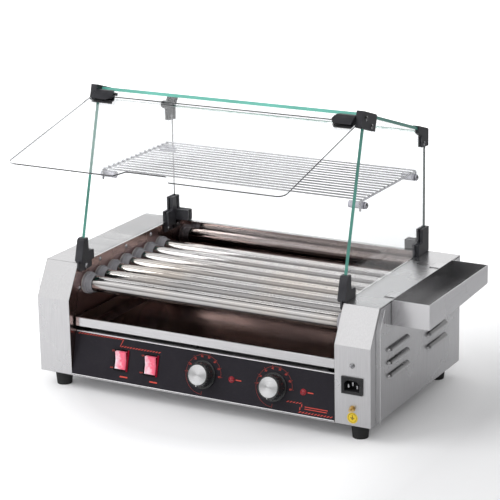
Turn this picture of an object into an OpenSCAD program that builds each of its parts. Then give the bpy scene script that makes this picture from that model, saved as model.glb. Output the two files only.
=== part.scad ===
// Counter-top hot dog roller grill with a glass hood, a bun shelf and a side tray.
// X runs along the rollers, Y from the front to the back, and Z up from the counter.
// The origin is on the counter, below the middle of the body.

/* [Body] */
// Width over both side housings
body_w = 580; // [520:1:640]
// Depth of the side housings
body_d = 326; // [310:1:350]
// Height of the side housings above the counter
body_top = 201.2; // [196:0.1:212]
// Width of one side housing
housing_w = 58.6; // [52:0.1:66]
// Height at which the housing's sloped shoulder starts
shoulder_z = 147.3; // [135:0.1:160]
// Depth of the sloped shoulder
shoulder_d = 30.8; // [24:0.1:36]
// Thickness of the folded steel sheet
sheet = 1.2; // [0.8:0.1:1.6]
// Height of a rubber foot
foot_h = 25; // [18:0.5:32]
// Diameter of a foot where it meets the base
foot_d = 29; // [24:0.5:34]
// Distance of a foot's centre from the housing's outer side
foot_inset_x = 28; // [20:0.5:36]
// Distance of a foot's centre from the front and the back
foot_inset_y = 24; // [20:0.5:30]
// Distance of the bright back wall from the back of the body
back_gap = 11; // [9:0.5:16]

/* [Side covers] */
// Thickness of a side cover
cover_t = 1; // [0.8:0.1:1.4]
// Width of the housing's side fold that shows in front of the cover
cover_inset = 16; // [12:0.5:20]
// Length of a louvre
louvre_l = 75; // [60:1:84]
// Radius of a louvre's hood
louvre_r = 7; // [5:0.5:8]
// Height of the lowest row of louvres
louvre_z = 85.5; // [76:0.5:92]
// Distance between rows of louvres
louvre_pitch = 20.5; // [18:0.5:22]

/* [Control panel] */
// Height of the panel's lower edge
panel_z0 = 26.4; // [26.4:0.1:30]
// Height of the panel's upper edge
panel_z1 = 95; // [92:0.1:98]
// How far the panel's upper edge stands behind the lower one
panel_set = 19.6; // [14:0.1:24]
// Thickness of the black facing on the panel
facing_t = 0.6; // [0.4:0.1:1]
// Height of the knobs, lamps and switches along the panel
control_up = 35.5; // [32:0.5:39]
// Distance of the front rollers' knob from the body's middle
knob_x = 4; // [0:0.5:10]
// Distance between the two knobs
knob_gap = 122; // [110:1:130]
// Diameter of a knob's skirt
knob_d = 44; // [36:0.5:48]
// Diameter of a knob's metal face
face_d = 31.5; // [28:0.5:34]
// How far a knob stands out of the panel
knob_h = 20; // [16:0.5:24]
// Diameter of a knob's shaft
shaft_d = 6; // [5:0.5:7]
// Distance of a lamp from its knob
lamp_gap = 49.5; // [44:0.5:54]
// Diameter of a lamp
lamp_d = 10; // [8:0.5:12]
// Distance of the first switch from the body's middle
switch_x = 143; // [138:0.5:150]
// Distance between the two switches
switch_gap = 54; // [44:0.5:60]
// Width of a switch's bezel
bezel_w = 25; // [24:0.5:30]
// Height of a switch's bezel
bezel_h = 33.5; // [33:0.5:38]
// Width of a rocker
rocker_w = 19.5; // [16:0.5:20.5]
// Height of a rocker
rocker_h = 27; // [24:0.5:28]
// Angle that a rocker turns through
rocker_turn = 16; // [10:1:18]

/* [Rollers and drive] */
// Number of rollers
roller_n = 7; // [5:1:7]
// Diameter of a roller
roller_d = 25; // [22:0.1:26]
// Wall of a roller tube
roller_wall = 1.5; // [1:0.1:2.5]
// Height of the rollers' axes
roller_z = 163; // [160:0.5:166]
// Distance of the first roller's axis behind the front
roller_y = 55; // [52:0.5:62]
// Distance between the axes of two rollers
roller_pitch = 36.7; // [36:0.05:37.5]
// Diameter of a roller's end collar
collar_d = 35; // [30:0.5:35.4]
// Length of a roller's end collar
collar_l = 14; // [10:0.5:18]
// Radial clearance of each running fit
run_fit = 0.05; // [0.02:0.01:0.08]
// Pitch of the drive chain
chain_pitch = 6.35; // [6.35:0.01:6.36]
// Teeth on a roller's sprocket
roller_teeth = 15; // [13:1:15]
// Teeth on the motor's sprocket
motor_teeth = 12; // [11:1:14]
// Height of the motor's shaft before the chain is cut to whole links
motor_z = 62; // [56:0.5:66]
// Distance of the motor's shaft behind the front
motor_y = 165; // [150:1:180]
// Diameter of a heater rod
heater_d = 8; // [6:0.5:10]

/* [Trays and shelf] */
// Height of the drip tray's front lip
lip_h = 13.5; // [11:0.5:15]
// Distance of the drip tray's lip behind the front
lip_y = 14; // [8:0.5:18]
// Thickness of the trays' sheet
tray_t = 1; // [0.8:0.1:1.2]
// Width of the utensil tray
utensil_w = 61; // [50:0.5:80]
// Length of the utensil tray
utensil_l = 220.6; // [180:0.5:240]
// Height of the utensil tray at its front
utensil_h = 38.7; // [30:0.5:44]
// How much the utensil tray's floor rises to the back
utensil_rise = 9; // [4:0.5:12]
// Height of the bun shelf's posts
post_z = 329; // [310:0.5:335]
// Diameter of a shelf post
post_d = 11; // [10:0.5:16]
// Length of a shelf post
post_l = 22; // [20:0.5:30]
// Diameter of the shelf's cross wires
wire_d = 2.5; // [2:0.1:4]
// Diameter of the shelf's side rails
rail_d = 3.5; // [3:0.1:6]
// Number of cross wires on the shelf
wire_n = 15; // [8:1:18]

/* [Glass hood] */
// Thickness of the glass
glass_t = 5; // [4:0.5:6]
// Height of the hood's front edge
hood_top = 463.5; // [440:0.5:480]
// Distance of the hood's top front edge behind the body's front
hood_y = 107; // [95:0.5:115]
// Distance of the side panes' foot behind the body's front
pane_foot_y = 34.5; // [33:0.5:38]
// Slope of the top glass, in degrees
top_slope = 18; // [12:0.5:20]
// Distance of the back glass from the back of the body
pane_back_gap = 3.4; // [3:0.1:5]
// Thickness of the front door
door_t = 4; // [3:0.5:5]
// Length of the front door from its hinge to its free edge
door_l = 246; // [230:0.5:250]
// Angle of the open door below the horizontal
door_open = 13; // [10:0.1:20]
// Width of the finger notch in the door's free edge
notch_w = 92; // [70:1:110]
// Depth of the finger notch
notch_h = 16; // [12:0.5:20]
// Length of a door hinge along the door
hinge_l = 36; // [30:0.5:50]
// Diameter of a door hinge's pin
pin_d = 5; // [4:0.5:6]

/* [Hidden] */
$fn = 48;

// Colours
steel = [0.78, 0.78, 0.79];
bright = [0.86, 0.86, 0.88];
black = [0.1, 0.1, 0.11];
grey = [0.35, 0.36, 0.38];
brass = [0.85, 0.65, 0.3];
clear = [0.75, 0.9, 0.87, 0.35];

// Body
seat = 0.2;              // gap left between parts that only rest on each other
out_x = body_w / 2;
in_x = out_x - housing_w;
wall_x = in_x + sheet;   // far face of an inner wall
slope_a = atan(shoulder_d / (body_top - shoulder_z));
floor_z = foot_h + sheet;

// Control panel
lean = atan(panel_set / (panel_z1 - panel_z0));
controls = [-switch_x, switch_gap - switch_x, knob_x, knob_x + knob_gap];
lamp_xs = [knob_x + lamp_gap, knob_x + knob_gap + lamp_gap];

// Rollers and chain
last_y = roller_y + (roller_n - 1) * roller_pitch;
sprocket_x = -(wall_x + 16);
function pitch_r(teeth) = chain_pitch / (2 * sin(180 / teeth));
roller_pr = pitch_r(roller_teeth);
motor_pr = pitch_r(motor_teeth);

function fy(d) = d - body_d / 2;

// Draws a side profile, with the depth behind the front as its first value, along X.
module across(x0, x1)
    translate([x0, -body_d / 2, 0]) rotate([90, 0, 90]) linear_extrude(x1 - x0) children();

// Draws a front profile along Y, between two depths behind the front.
module backwards(d0, d1)
    translate([0, fy(d1), 0]) rotate([90, 0, 0]) linear_extrude(d1 - d0) children();

// A round bar along X.
module bar_x(x0, x1, d, z, r)
    translate([x0, fy(d), z]) rotate([0, 90, 0]) cylinder(r = r, h = x1 - x0);

// Places a part at a spot on the panel, with its Z pointing out of the panel.
module on_panel(x, up)
    translate([x, fy(0) + up * sin(lean), panel_z0 + up * cos(lean)])
        rotate([90 - lean, 0, 0]) children();

module both_sides() {
    children();
    mirror([1, 0, 0]) children();
}

// Outline of a housing's side, drawn in by a margin.
function housing_outline(m) =
    [[m, foot_h + m],
     [m, shoulder_z - m * tan(slope_a / 2)],
     [shoulder_d + m * tan((90 - slope_a) / 2), body_top - m],
     [body_d - m, body_top - m], [body_d - m, foot_h + m]];

// ---- Body ----

module base_pan() color(steel) {
    difference() {
        translate([-(out_x - sheet), fy(sheet), foot_h])
            cube([2 * (out_x - sheet), body_d - 2 * sheet, sheet]);
        for (x = [-1, 1], d = [foot_inset_y, body_d - foot_inset_y])
            translate([x * (out_x - foot_inset_x), fy(d), foot_h - 1]) cylinder(d = 5, h = sheet + 2);
    }
    // Lip under the control panel
    translate([-in_x, fy(0), foot_h]) cube([2 * in_x, sheet, sheet]);
}

module housing() difference() {
    across(in_x, out_x) polygon(housing_outline(0));
    across(in_x - 1, out_x - sheet) polygon(concat(
        [[sheet, foot_h - 1]],
        [for (i = [1:3]) housing_outline(sheet)[i]],
        [[body_d - sheet, foot_h - 1]]));
    // Window behind the side cover
    across(out_x - sheet - 1, out_x + 1) polygon([
        [cover_inset + 14, foot_h + 16], [cover_inset + 14, shoulder_z],
        [shoulder_d + 18, body_top - 16],
        [body_d - 16, body_top - 16], [body_d - 16, foot_h + 16]]);
}

module left_housing() color(steel) mirror([1, 0, 0]) housing();

inlet_x = out_x - 29.5;         // middle of the power inlet
inlet_z = 87.5;
inlet_w = 28;            // cut-out behind the inlet's flange
inlet_h = 20.5;
stud_z = 52;
hook_x = out_x - 16;     // middle of the slots that hold the utensil tray
hook_ds = [96, 258];
hook_w = 26;

module right_housing() color(steel) difference() {
    housing();
    translate([inlet_x - inlet_w / 2, fy(-1), inlet_z - inlet_h / 2]) cube([inlet_w, sheet + 2, inlet_h]);
    translate([inlet_x, fy(-1), stud_z]) rotate([-90, 0, 0]) cylinder(d = 4.4, h = sheet + 2);
    for (d = hook_ds) translate([hook_x - 2, fy(d) - hook_w / 2 - 1, body_top - 2 * sheet])
        cube([4, hook_w + 2, 4 * sheet]);
}

module inner_wall() difference() {
    across(in_x, wall_x) polygon([
        [sheet, floor_z], each [for (i = [1:3]) housing_outline(sheet)[i]], [body_d - sheet, floor_z]]);
    for (i = [0:roller_n - 1])
        bar_x(in_x - 1, wall_x + 1, roller_y + i * roller_pitch, roller_z, bush_r);
}
bush_r = roller_d / 2 + 2.5;

module left_inner_wall() color(steel) difference() {
    mirror([1, 0, 0]) inner_wall();
    bar_x(-wall_x - 1, -in_x + 1, motor_y, shaft_z, 9);
}
module right_inner_wall() color(steel) inner_wall();

// Half-round hood pressed out over a slot, open downwards.
module hood_form(r, l) intersection() {
    union() {
        for (s = [-1, 1]) translate([0, s * (l / 2 - r), 0]) sphere(r = r);
        rotate([90, 0, 0]) cylinder(r = r, h = l - 2 * r, center = true);
    }
    translate([-r, -l / 2, 0]) cube([2 * r, l, r]);
}

louvre_ds = [55 + louvre_l / 2, 196 + louvre_l / 2];
module side_cover() {
    rows = [for (i = [0:2]) louvre_z + i * louvre_pitch];
    k = cover_inset + 1;
    difference() {
        across(out_x, out_x + cover_t) polygon([
            [k, foot_h + 2], [k, shoulder_z + (k - 3.3) / tan(slope_a)],
            [3.3 + shoulder_d - 2 * tan(slope_a), body_top - 2],
            [body_d - 2, body_top - 2], [body_d - 2, foot_h + 2]]);
        for (d = louvre_ds, z = rows) translate([out_x, fy(d), z])
            hood_form(louvre_r - cover_t, louvre_l - 2 * cover_t);
    }
    for (d = louvre_ds, z = rows) translate([out_x, fy(d), z]) difference() {
        hood_form(louvre_r, louvre_l);
        hood_form(louvre_r - cover_t, louvre_l - 2 * cover_t);
        translate([-20, -louvre_l, -1]) cube([20, 2 * louvre_l, 30]);
    }
}
module left_side_cover() color(steel) mirror([1, 0, 0]) side_cover();
module right_side_cover() color(steel) side_cover();

back_in = body_d - back_gap;
module back_wall() color(bright) across(-in_x, in_x) polygon([
    [back_in, floor_z], [back_in, body_top], [body_d, body_top], [body_d, foot_h],
    [body_d - sheet, foot_h], [body_d - sheet, body_top - sheet],
    [back_in + sheet, body_top - sheet], [back_in + sheet, floor_z]]);

module rubber_feet() color(black)
    for (x = [-1, 1], d = [foot_inset_y, body_d - foot_inset_y])
        translate([x * (out_x - foot_inset_x), fy(d), 0]) {
            cylinder(d1 = foot_d - 5, d2 = foot_d, h = foot_h);
            cylinder(d = 5, h = foot_h + sheet);
        }

// ---- Control panel ----

module panel_profile(t) polygon([
    [0, panel_z0], [panel_set, panel_z1], [panel_set + 26, panel_z1], [panel_set + 26, panel_z1 - t],
    [panel_set + t * (1 - sin(lean)) / cos(lean), panel_z1 - t], [t / cos(lean), panel_z0]]);

module panel_cuts() {
    for (x = [controls[0], controls[1]]) on_panel(x, control_up)
        translate([0, 0, -8]) linear_extrude(16) square([bezel_w - 3, bezel_h - 3], center = true);
    for (x = [controls[2], controls[3]]) on_panel(x, control_up)
        translate([0, 0, -8]) cylinder(d = shaft_d + 3, h = 16);
    for (x = lamp_xs) on_panel(x, control_up)
        translate([0, 0, -8]) cylinder(d = lamp_d - 2, h = 16);
}

module control_panel() color(steel) difference() {
    across(-in_x, in_x) panel_profile(sheet);
    panel_cuts();
}

module panel_facing() color(black) difference() {
    across(-in_x, in_x) polygon([
        [0.6 * tan(lean), panel_z0 + 0.6], [panel_set - 0.6 * tan(lean), panel_z1 - 0.6],
        [panel_set - 0.6 * tan(lean) - facing_t * cos(lean), panel_z1 - 0.6 + facing_t * sin(lean)],
        [0.6 * tan(lean) - facing_t * cos(lean), panel_z0 + 0.6 + facing_t * sin(lean)]]);
    panel_cuts();
}

deck_z = panel_z1;
module tray_deck() color(steel)
    across(-in_x, in_x) polygon([
        [panel_set + 26, deck_z - sheet], [panel_set + 26, deck_z], [back_in, deck_z],
        [back_in, deck_z - 14], [back_in - sheet, deck_z - 14], [back_in - sheet, deck_z - sheet]]);

module switch_frames() color(black)
    for (x = [controls[0], controls[1]]) on_panel(x, control_up) difference() {
        union() {
            translate([0, 0, facing_t]) linear_extrude(2.2)
                square([bezel_w, bezel_h], center = true);
            translate([0, 0, -20]) linear_extrude(20 + facing_t)
                square([bezel_w - 3, bezel_h - 3], center = true);
            for (u = [-8, 0, 8]) translate([-3, u - 0.4, -28]) cube([6, 0.8, 9]);
        }
        translate([0, 0, -15]) linear_extrude(30)
            square([rocker_w + 0.6, rocker_h + 2], center = true);
        translate([-bezel_w / 2 - 1, 0, pivot_h]) rotate([0, 90, 0])
            cylinder(r = trunnion_r + run_fit, h = bezel_w + 2);
    }
pivot_h = -0.5;          // height of a rocker's pivot over the panel
trunnion_r = 1.5;
face_h = 3.2;            // height of the middle of a rocker's face over its pivot

// The face is a shallow V about the pivot, and both ends are arcs round it.
module rocker() {
    h = rocker_h / 2;
    r = norm([h, face_h + h * tan(rocker_turn / 2)]);
    rotate([rocker_turn / 2, 0, 0]) {
        intersection() {
            rotate([0, 90, 0]) cylinder(r = r, h = rocker_w, center = true);
            rotate([90, 0, 90]) linear_extrude(rocker_w, center = true)
                polygon([[0, face_h], [h, face_h + h * tan(rocker_turn / 2)], [h + 2, 0], [4, -8],
                         [-4, -8], [-h - 2, 0], [-h, face_h + h * tan(rocker_turn / 2)]]);
        }
        rotate([0, 90, 0]) cylinder(r = trunnion_r, h = bezel_w - 3.4, center = true);
    }
}
module left_rocker() color([0.9, 0.2, 0.25])
    on_panel(controls[0], control_up) translate([0, 0, pivot_h]) rocker();
module right_rocker() color([0.9, 0.2, 0.25])
    on_panel(controls[1], control_up) translate([0, 0, pivot_h]) rocker();

module indicator_lamps() color([0.8, 0.05, 0.08])
    for (x = lamp_xs) on_panel(x, control_up) {
        translate([0, 0, facing_t]) cylinder(d = lamp_d, h = 1);
        translate([0, 0, facing_t + 1]) intersection() {
            translate([0, 0, -2]) sphere(r = norm([lamp_d / 2 - 0.8, 2]));
            cylinder(d = lamp_d, h = 10);
        }
        translate([0, 0, -16]) cylinder(d = lamp_d - 2, h = 16 + facing_t);
    }

cap_t = 1.2;
module knob() difference() {
    union() {
        translate([0, 0, 1.2]) cylinder(d = knob_d, h = 2.4);
        translate([0, 0, 3.6]) cylinder(d1 = knob_d - 4, d2 = face_d + 4, h = knob_h - 3.6);
        translate([0, 0, -14]) cylinder(d = shaft_d, h = 20);
    }
    translate([0, 0, knob_h - cap_t]) cylinder(d = face_d, h = 5);
    // Grip flutes
    for (a = [0:15:345]) rotate(a)
        translate([(knob_d - 4) / 2 + 0.8, 0, 5]) rotate([0, -atan((knob_d - 8 - face_d) / 2 / (knob_h - 3.6)), 0])
            cylinder(r = 1.3, h = knob_h + 4);
}
module knob_face() translate([0, 0, knob_h - cap_t]) {
    cylinder(d = face_d, h = cap_t);
}
module front_knob() color(black) on_panel(controls[2], control_up) knob();
module front_knob_face() color(bright) on_panel(controls[2], control_up) knob_face();
module rear_knob() color(black) on_panel(controls[3], control_up) knob();
module rear_knob_face() color(bright) on_panel(controls[3], control_up) knob_face();

module thermostats() color(grey)
    for (x = [controls[2], controls[3]]) on_panel(x, control_up) difference() {
        union() {
            translate([0, 0, -sheet - 22]) cylinder(d = 34, h = 21.9);
            for (a = [-40, 0, 40]) rotate(a) translate([-3, 10, -sheet - 30]) cube([6, 0.8, 9]);
        }
        translate([0, 0, -16]) cylinder(r = shaft_d / 2 + run_fit, h = 20);
    }

// ---- Rollers, heaters and drive ----

roller_end = wall_x + 30;   // each roller tube ends here
collar_gap = 0.6;           // between a collar and the bush behind it
bush_lip = 1.5;

module roller(i) {
    d = roller_y + (i - 1) * roller_pitch;
    difference() {
        union() {
            bar_x(-roller_end, roller_end, d, roller_z, roller_d / 2);
            bar_x(sprocket_x + 4.2, sprocket_x + 8, d, roller_z, roller_d / 2 + 1);
            translate([sprocket_x, fy(d), roller_z]) sprocket(roller_teeth, roller_phase(i - 1));
        }
        bar_x(-roller_end - 1, roller_end + 1, d, roller_z, roller_d / 2 - roller_wall);
    }
}

module roller_collars(i) both_sides() {
    d = roller_y + (i - 1) * roller_pitch;
    x1 = in_x - bush_lip - collar_gap;
    difference() {
        union() {
            bar_x(x1 - collar_l * 0.4, x1, d, roller_z, collar_d / 2);
            bar_x(x1 - collar_l * 0.62, x1, d, roller_z, collar_d / 2 - 2.2);
            bar_x(x1 - collar_l, x1, d, roller_z, roller_d / 2 + 1.8);
        }
        bar_x(x1 - collar_l - 1, x1 + 1, d, roller_z, roller_d / 2);
    }
}

module roller_bushes() color(grey) both_sides()
    for (i = [0:roller_n - 1]) {
        d = roller_y + i * roller_pitch;
        difference() {
            union() {
                bar_x(in_x - bush_lip, in_x, d, roller_z, bush_r + 2);
                bar_x(in_x, wall_x + 3, d, roller_z, bush_r);
            }
            bar_x(in_x - 5, wall_x + 5, d, roller_z, roller_d / 2 + run_fit);
        }
    }

rod_end = out_x - 6;
bracket_x = out_x - 16;
module heater_rods() color([0.5, 0.48, 0.46])
    for (i = [0:roller_n - 1]) bar_x(-rod_end, rod_end, roller_y + i * roller_pitch, roller_z, heater_d / 2);

module heater_brackets() color(steel) both_sides() {
    d0 = roller_y - 21;
    d1 = last_y + 21;
    difference() {
        union() {
            translate([bracket_x, fy(d0), roller_z - 10]) cube([sheet, d1 - d0, 20]);
            // End legs that fold back to the inner wall
            for (d = [d0, d1 - sheet]) translate([wall_x, fy(d), roller_z - 10])
                cube([bracket_x - wall_x + sheet, sheet, 20]);
        }
        for (i = [0:roller_n - 1])
            bar_x(bracket_x - 1, bracket_x + 3, roller_y + i * roller_pitch, roller_z, heater_d / 2);
    }
}

// The chain runs over the tops of the roller sprockets and back under the motor's.
ring_a = [roller_y, roller_z];
ring_b = [last_y, roller_z];
function heading(v) = atan2(v[1], v[0]);
// Angle of the outward normal on the straight run from one ring to the next.
function run_normal(c1, r1, c2, r2) = heading(c2 - c1) + acos((r1 - r2) / norm(c2 - c1));
function run_length(c1, r1, c2, r2) = sqrt(pow(norm(c2 - c1), 2) - pow(r1 - r2, 2));
roller_step = 360 / roller_teeth;
motor_step = 360 / motor_teeth;
// Lengths of the six stretches, in links, for a motor shaft at height h.
function stretches(h) = let (
    m = [motor_y, h],
    nb = run_normal(ring_b, roller_pr, m, motor_pr),
    na = run_normal(m, motor_pr, ring_a, roller_pr) - 360)
    [(last_y - roller_y) / chain_pitch, (90 - nb) / roller_step,
     run_length(ring_b, roller_pr, m, motor_pr) / chain_pitch, (nb - na) / motor_step,
     run_length(m, motor_pr, ring_a, roller_pr) / chain_pitch, (na + 270) / roller_step];
function total(v) = v * [for (x = v) 1];
link_n = 2 * round(total(stretches(motor_z)) / 2);
// Height of the shaft at which the loop holds whole links, found by halving.
function fit_height(low, high, n = 40) = let (mid = (low + high) / 2)
    n == 0 ? mid :
    total(stretches(mid)) > link_n ? fit_height(mid, high, n - 1) : fit_height(low, mid, n - 1);
shaft_z = fit_height(motor_z - 12, motor_z + 12);
runs = stretches(shaft_z);
ends = [for (i = 0, t = 0; i < 7; t = t + (i < 6 ? runs[i] : 0), i = i + 1) t];
ring_m = [motor_y, shaft_z];
normal_b = run_normal(ring_b, roller_pr, ring_m, motor_pr);
normal_a = run_normal(ring_m, motor_pr, ring_a, roller_pr) - 360;
function spoke(c, r, a) = c + r * [cos(a), sin(a)];
function along(p, q, t) = p + (q - p) * t;
// Place of the chain at a number of links from the top of the first sprocket.
function chain_at(s) =
    s < ends[1] ? along(spoke(ring_a, roller_pr, 90), spoke(ring_b, roller_pr, 90), s / runs[0]) :
    s < ends[2] ? spoke(ring_b, roller_pr, 90 - (s - ends[1]) * roller_step) :
    s < ends[3] ? along(spoke(ring_b, roller_pr, normal_b), spoke(ring_m, motor_pr, normal_b),
                        (s - ends[2]) / runs[2]) :
    s < ends[4] ? spoke(ring_m, motor_pr, normal_b - (s - ends[3]) * motor_step) :
    s < ends[5] ? along(spoke(ring_m, motor_pr, normal_a), spoke(ring_a, roller_pr, normal_a),
                        (s - ends[4]) / runs[4]) :
                  spoke(ring_a, roller_pr, normal_a - (s - ends[5]) * roller_step);
function roller_phase(i) = let (s = i * roller_pitch / chain_pitch) 90 - (round(s) - s) * roller_step;
motor_phase = normal_b - (ceil(ends[3]) - ends[3]) * motor_step;

chain_roller_r = 0.26 * chain_pitch;
tooth_w = 2.8;
// A chain wheel with a tooth gap at the given angle.
module sprocket(teeth, phase) {
    pr = pitch_r(teeth);
    tip = chain_pitch * (0.6 + 1 / tan(180 / teeth)) / 2;
    gap_r = chain_roller_r + 0.15;
    translate([-tooth_w / 2, 0, 0]) rotate([90, 0, 90]) linear_extrude(tooth_w) difference() {
        circle(r = tip - 0.3);
        for (i = [0:teeth - 1]) rotate(phase + i * 360 / teeth) translate([pr, 0]) {
            circle(r = gap_r, $fn = 24);
            polygon([[0, -gap_r], [4, -gap_r - 1.5], [4, gap_r + 1.5], [0, gap_r]]);
        }
    }
}

plate_t = 0.8;
plate_gap = 0.1;
module drive_chain() color([0.3, 0.3, 0.31])
    for (k = [0:link_n - 1]) {
        p = chain_at(k);
        q = chain_at((k + 1) % link_n);
        wide = k % 2;        // 1 for an outer link
        x = tooth_w / 2 + 0.2 + wide * (plate_t + plate_gap);
        end_r = 2.5 + wide * 0.1;
        for (x0 = [x, -x - plate_t]) translate([sprocket_x + x0, fy(p[0]), p[1]])
            rotate([90, 0, 90]) rotate(heading(q - p)) linear_extrude(plate_t) {
                translate([0, -1.9]) square([norm(q - p), 3.8]);
                for (t = [0, norm(q - p)]) translate([t, 0]) circle(r = end_r, $fn = 24);
            }
        bar_x(sprocket_x - tooth_w / 2 - 2.3, sprocket_x + tooth_w / 2 + 2.3, p[0], p[1],
              chain_roller_r - 0.1);
    }

motor_x = -(in_x - 4);   // face of the gearbox's boss
module motor_sprocket() color(steel) {
    translate([sprocket_x, fy(motor_y), shaft_z]) sprocket(motor_teeth, motor_phase);
    bar_x(sprocket_x - 6, sprocket_x + 8, motor_y, shaft_z, 7);
    bar_x(sprocket_x, motor_x + 24, motor_y, shaft_z, 4);
}

module drive_motor() color(grey) {
    difference() {
        union() {
            bar_x(-wall_x - 2, motor_x + 2, motor_y, shaft_z, 8.4);
            translate([motor_x, fy(motor_y - 32), shaft_z - 30]) cube([26, 64, 52]);
            // Motor and its laminations beside the gearbox
            bar_x(motor_x + 26, motor_x + 62, motor_y + 6, shaft_z, 26);
            translate([motor_x + 34, fy(motor_y - 22), shaft_z - 28]) cube([14, 56, 52]);
        }
        bar_x(-wall_x - 5, motor_x + 25, motor_y, shaft_z, 4 + run_fit);
    }
    // Four feet that screw to the inner wall
    for (d = [-27, 27], z = [-25, 17]) bar_x(-in_x, motor_x, motor_y + d, shaft_z + z, 4);
}

// ---- Power inlet ----

module power_inlet() color(black) translate([inlet_x, fy(0), inlet_z]) {
    difference() {
        union() {
            translate([-17, -2.5, -13]) cube([34, 2.5, 26]);
            translate([-inlet_w / 2, -0.1, -inlet_h / 2]) cube([inlet_w, 24, inlet_h]);
        }
        // Socket with two cut corners
        translate([0, 14, 0]) rotate([90, 0, 0]) linear_extrude(20) polygon([
            [-12.2, -8.2], [12.2, -8.2], [12.2, 3.6], [7.8, 8.2], [-7.8, 8.2], [-12.2, 3.6]]);
    }
    for (p = [[-7, -2], [0, 2], [7, -2]]) translate([p[0] - 1, 2, p[1] - 2.5]) cube([2, 22, 5]);
    for (p = [[-7, -2], [0, 2], [7, -2]]) translate([p[0] - 3, 24, p[1] - 0.4]) cube([6, 8, 0.8]);
}

module earth_stud() color(brass) translate([inlet_x, fy(0), stud_z]) rotate([90, 0, 0]) {
    translate([0, 0, -14]) cylinder(d = 4, h = 24);
    cylinder(d = 9, h = 1);
    translate([0, 0, 1]) cylinder(d = 8, h = 3.2, $fn = 6);
    translate([0, 0, -sheet - 3.2]) cylinder(d = 8, h = 3.2, $fn = 6);
}

// ---- Glass hood ----

hood_in = in_x - 0.4;                    // outer face of a side pane
edge_a = atan((hood_y - pane_foot_y) / (hood_top - body_top));
pane_back = body_d - pane_back_gap;
function top_at(d) = hood_top - (d - hood_y) * tan(top_slope);
function edge_at(z) = pane_foot_y + (z - body_top) * tan(edge_a);
pane_z = body_top + seat;

module side_glass() across(hood_in - glass_t, hood_in) polygon([
    [edge_at(pane_z), pane_z], [hood_y, hood_top], [pane_back, top_at(pane_back)], [pane_back, pane_z]]);
module left_glass() color(clear) mirror([1, 0, 0]) side_glass();
module right_glass() color(clear) side_glass();

module back_glass() color(clear)
    translate([-(hood_in - glass_t), fy(pane_back - glass_t), pane_z])
        cube([2 * (hood_in - glass_t), glass_t, top_at(pane_back) - pane_z]);

module top_glass() color(clear) across(-hood_in, hood_in)
    translate([hood_y, hood_top]) rotate(-top_slope)
        square([(pane_back + 2 - hood_y) / cos(top_slope), glass_t]);

// Everything that the hood's glass fills, for the slots in its fittings.
module glass_slots() {
    both_sides() across(hood_in - glass_t, hood_in) polygon([
        [edge_at(pane_z), pane_z], [hood_y, hood_top], [hood_y + 1, top_at(hood_y + 1) + 1.5],
        [pane_back, top_at(pane_back) + 1.5], [pane_back, pane_z]]);
    back_glass();
    top_glass();
}

// Front clamps: a channel in front of the glass edge, a stub behind it and a flange on the wall.
door_gap = 0.4;
hinge_d = hood_y - 13;
hinge_z = hood_top - 1.5;
door_drop = 3;                           // the door lies this far under its hinge pin
// Distance of the hinge pin in front of the panes' front edges.
pin_lead = (hood_y - hinge_d) * cos(edge_a) + (hinge_z - hood_top) * sin(edge_a);
clamp_lead = (pin_lead - door_drop - door_t / 2 - door_gap) / cos(edge_a);
clamp_h = 38;
clamp_out = 4.5;                         // thickness of a clamp outside the glass
module front_clamps() color(black) both_sides() difference() {
    z0 = body_top + seat;
    z1 = z0 + clamp_h;
    union() {
        across(hood_in - glass_t - 3.5, hood_in + clamp_out) polygon([
            [edge_at(z0 + 4) - clamp_lead, z0 + 4], [edge_at(z0) - clamp_lead + 4, z0],
            [edge_at(z0) + 16, z0], [edge_at(z1) + 4, z1],
            [edge_at(z1 - 3) - clamp_lead + 3, z1], [edge_at(z1 - 3) - clamp_lead, z1 - 3]]);
        across(hood_in - glass_t - 3.5, hood_in + clamp_out) polygon([
            [edge_at(z0) + 10, z0], [64, z0], [64, z0 + 15], [edge_at(z0) + 12, z0 + 17]]);
        // Flange that screws to the inner wall
        across(hood_in - 3, hood_in - 0.4) polygon([
            [29.5, z0 + 6], [27, z0 + 0.1], [27, body_top - 8.2], [35.5, body_top - 15.2], [65, body_top - 13.2], [65, z0 + 0.1],
            [34, z0 + 0.1], [33.5, z0 + 6]]);
    }
    glass_slots();
}

module back_clamps() color(black) both_sides() difference() {
    z0 = body_top + 0.2;
    x0 = hood_in - glass_t - 5;
    x1 = hood_in + clamp_out;
    union() {
        across(x0, x1) polygon([[back_in - 25, z0], [back_in - 25, z0 + 18], [back_in - 11, z0 + 18], [back_in - 11, z0 + 40],
                                [pane_back + 6, z0 + 40], [pane_back + 6, z0]]);
        across(x0 - 24, x0) polygon([[pane_back - glass_t - 5, z0], [pane_back - glass_t - 5, z0 + 18],
                                     [pane_back + 6, z0 + 18], [pane_back + 6, z0]]);
        across(x0, hood_in) polygon([
            [back_in - 25, body_top - 7], [back_in - 1, body_top - 7], [back_in - 1, z0 + 1], [back_in - 25, z0 + 1]]);
        across(hood_in - 3, hood_in) polygon([
            [back_in - 25, body_top - 18], [back_in - 1, body_top - 18], [back_in - 1, body_top],
            [back_in - 25, body_top]]);
    }
    glass_slots();
}

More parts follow.
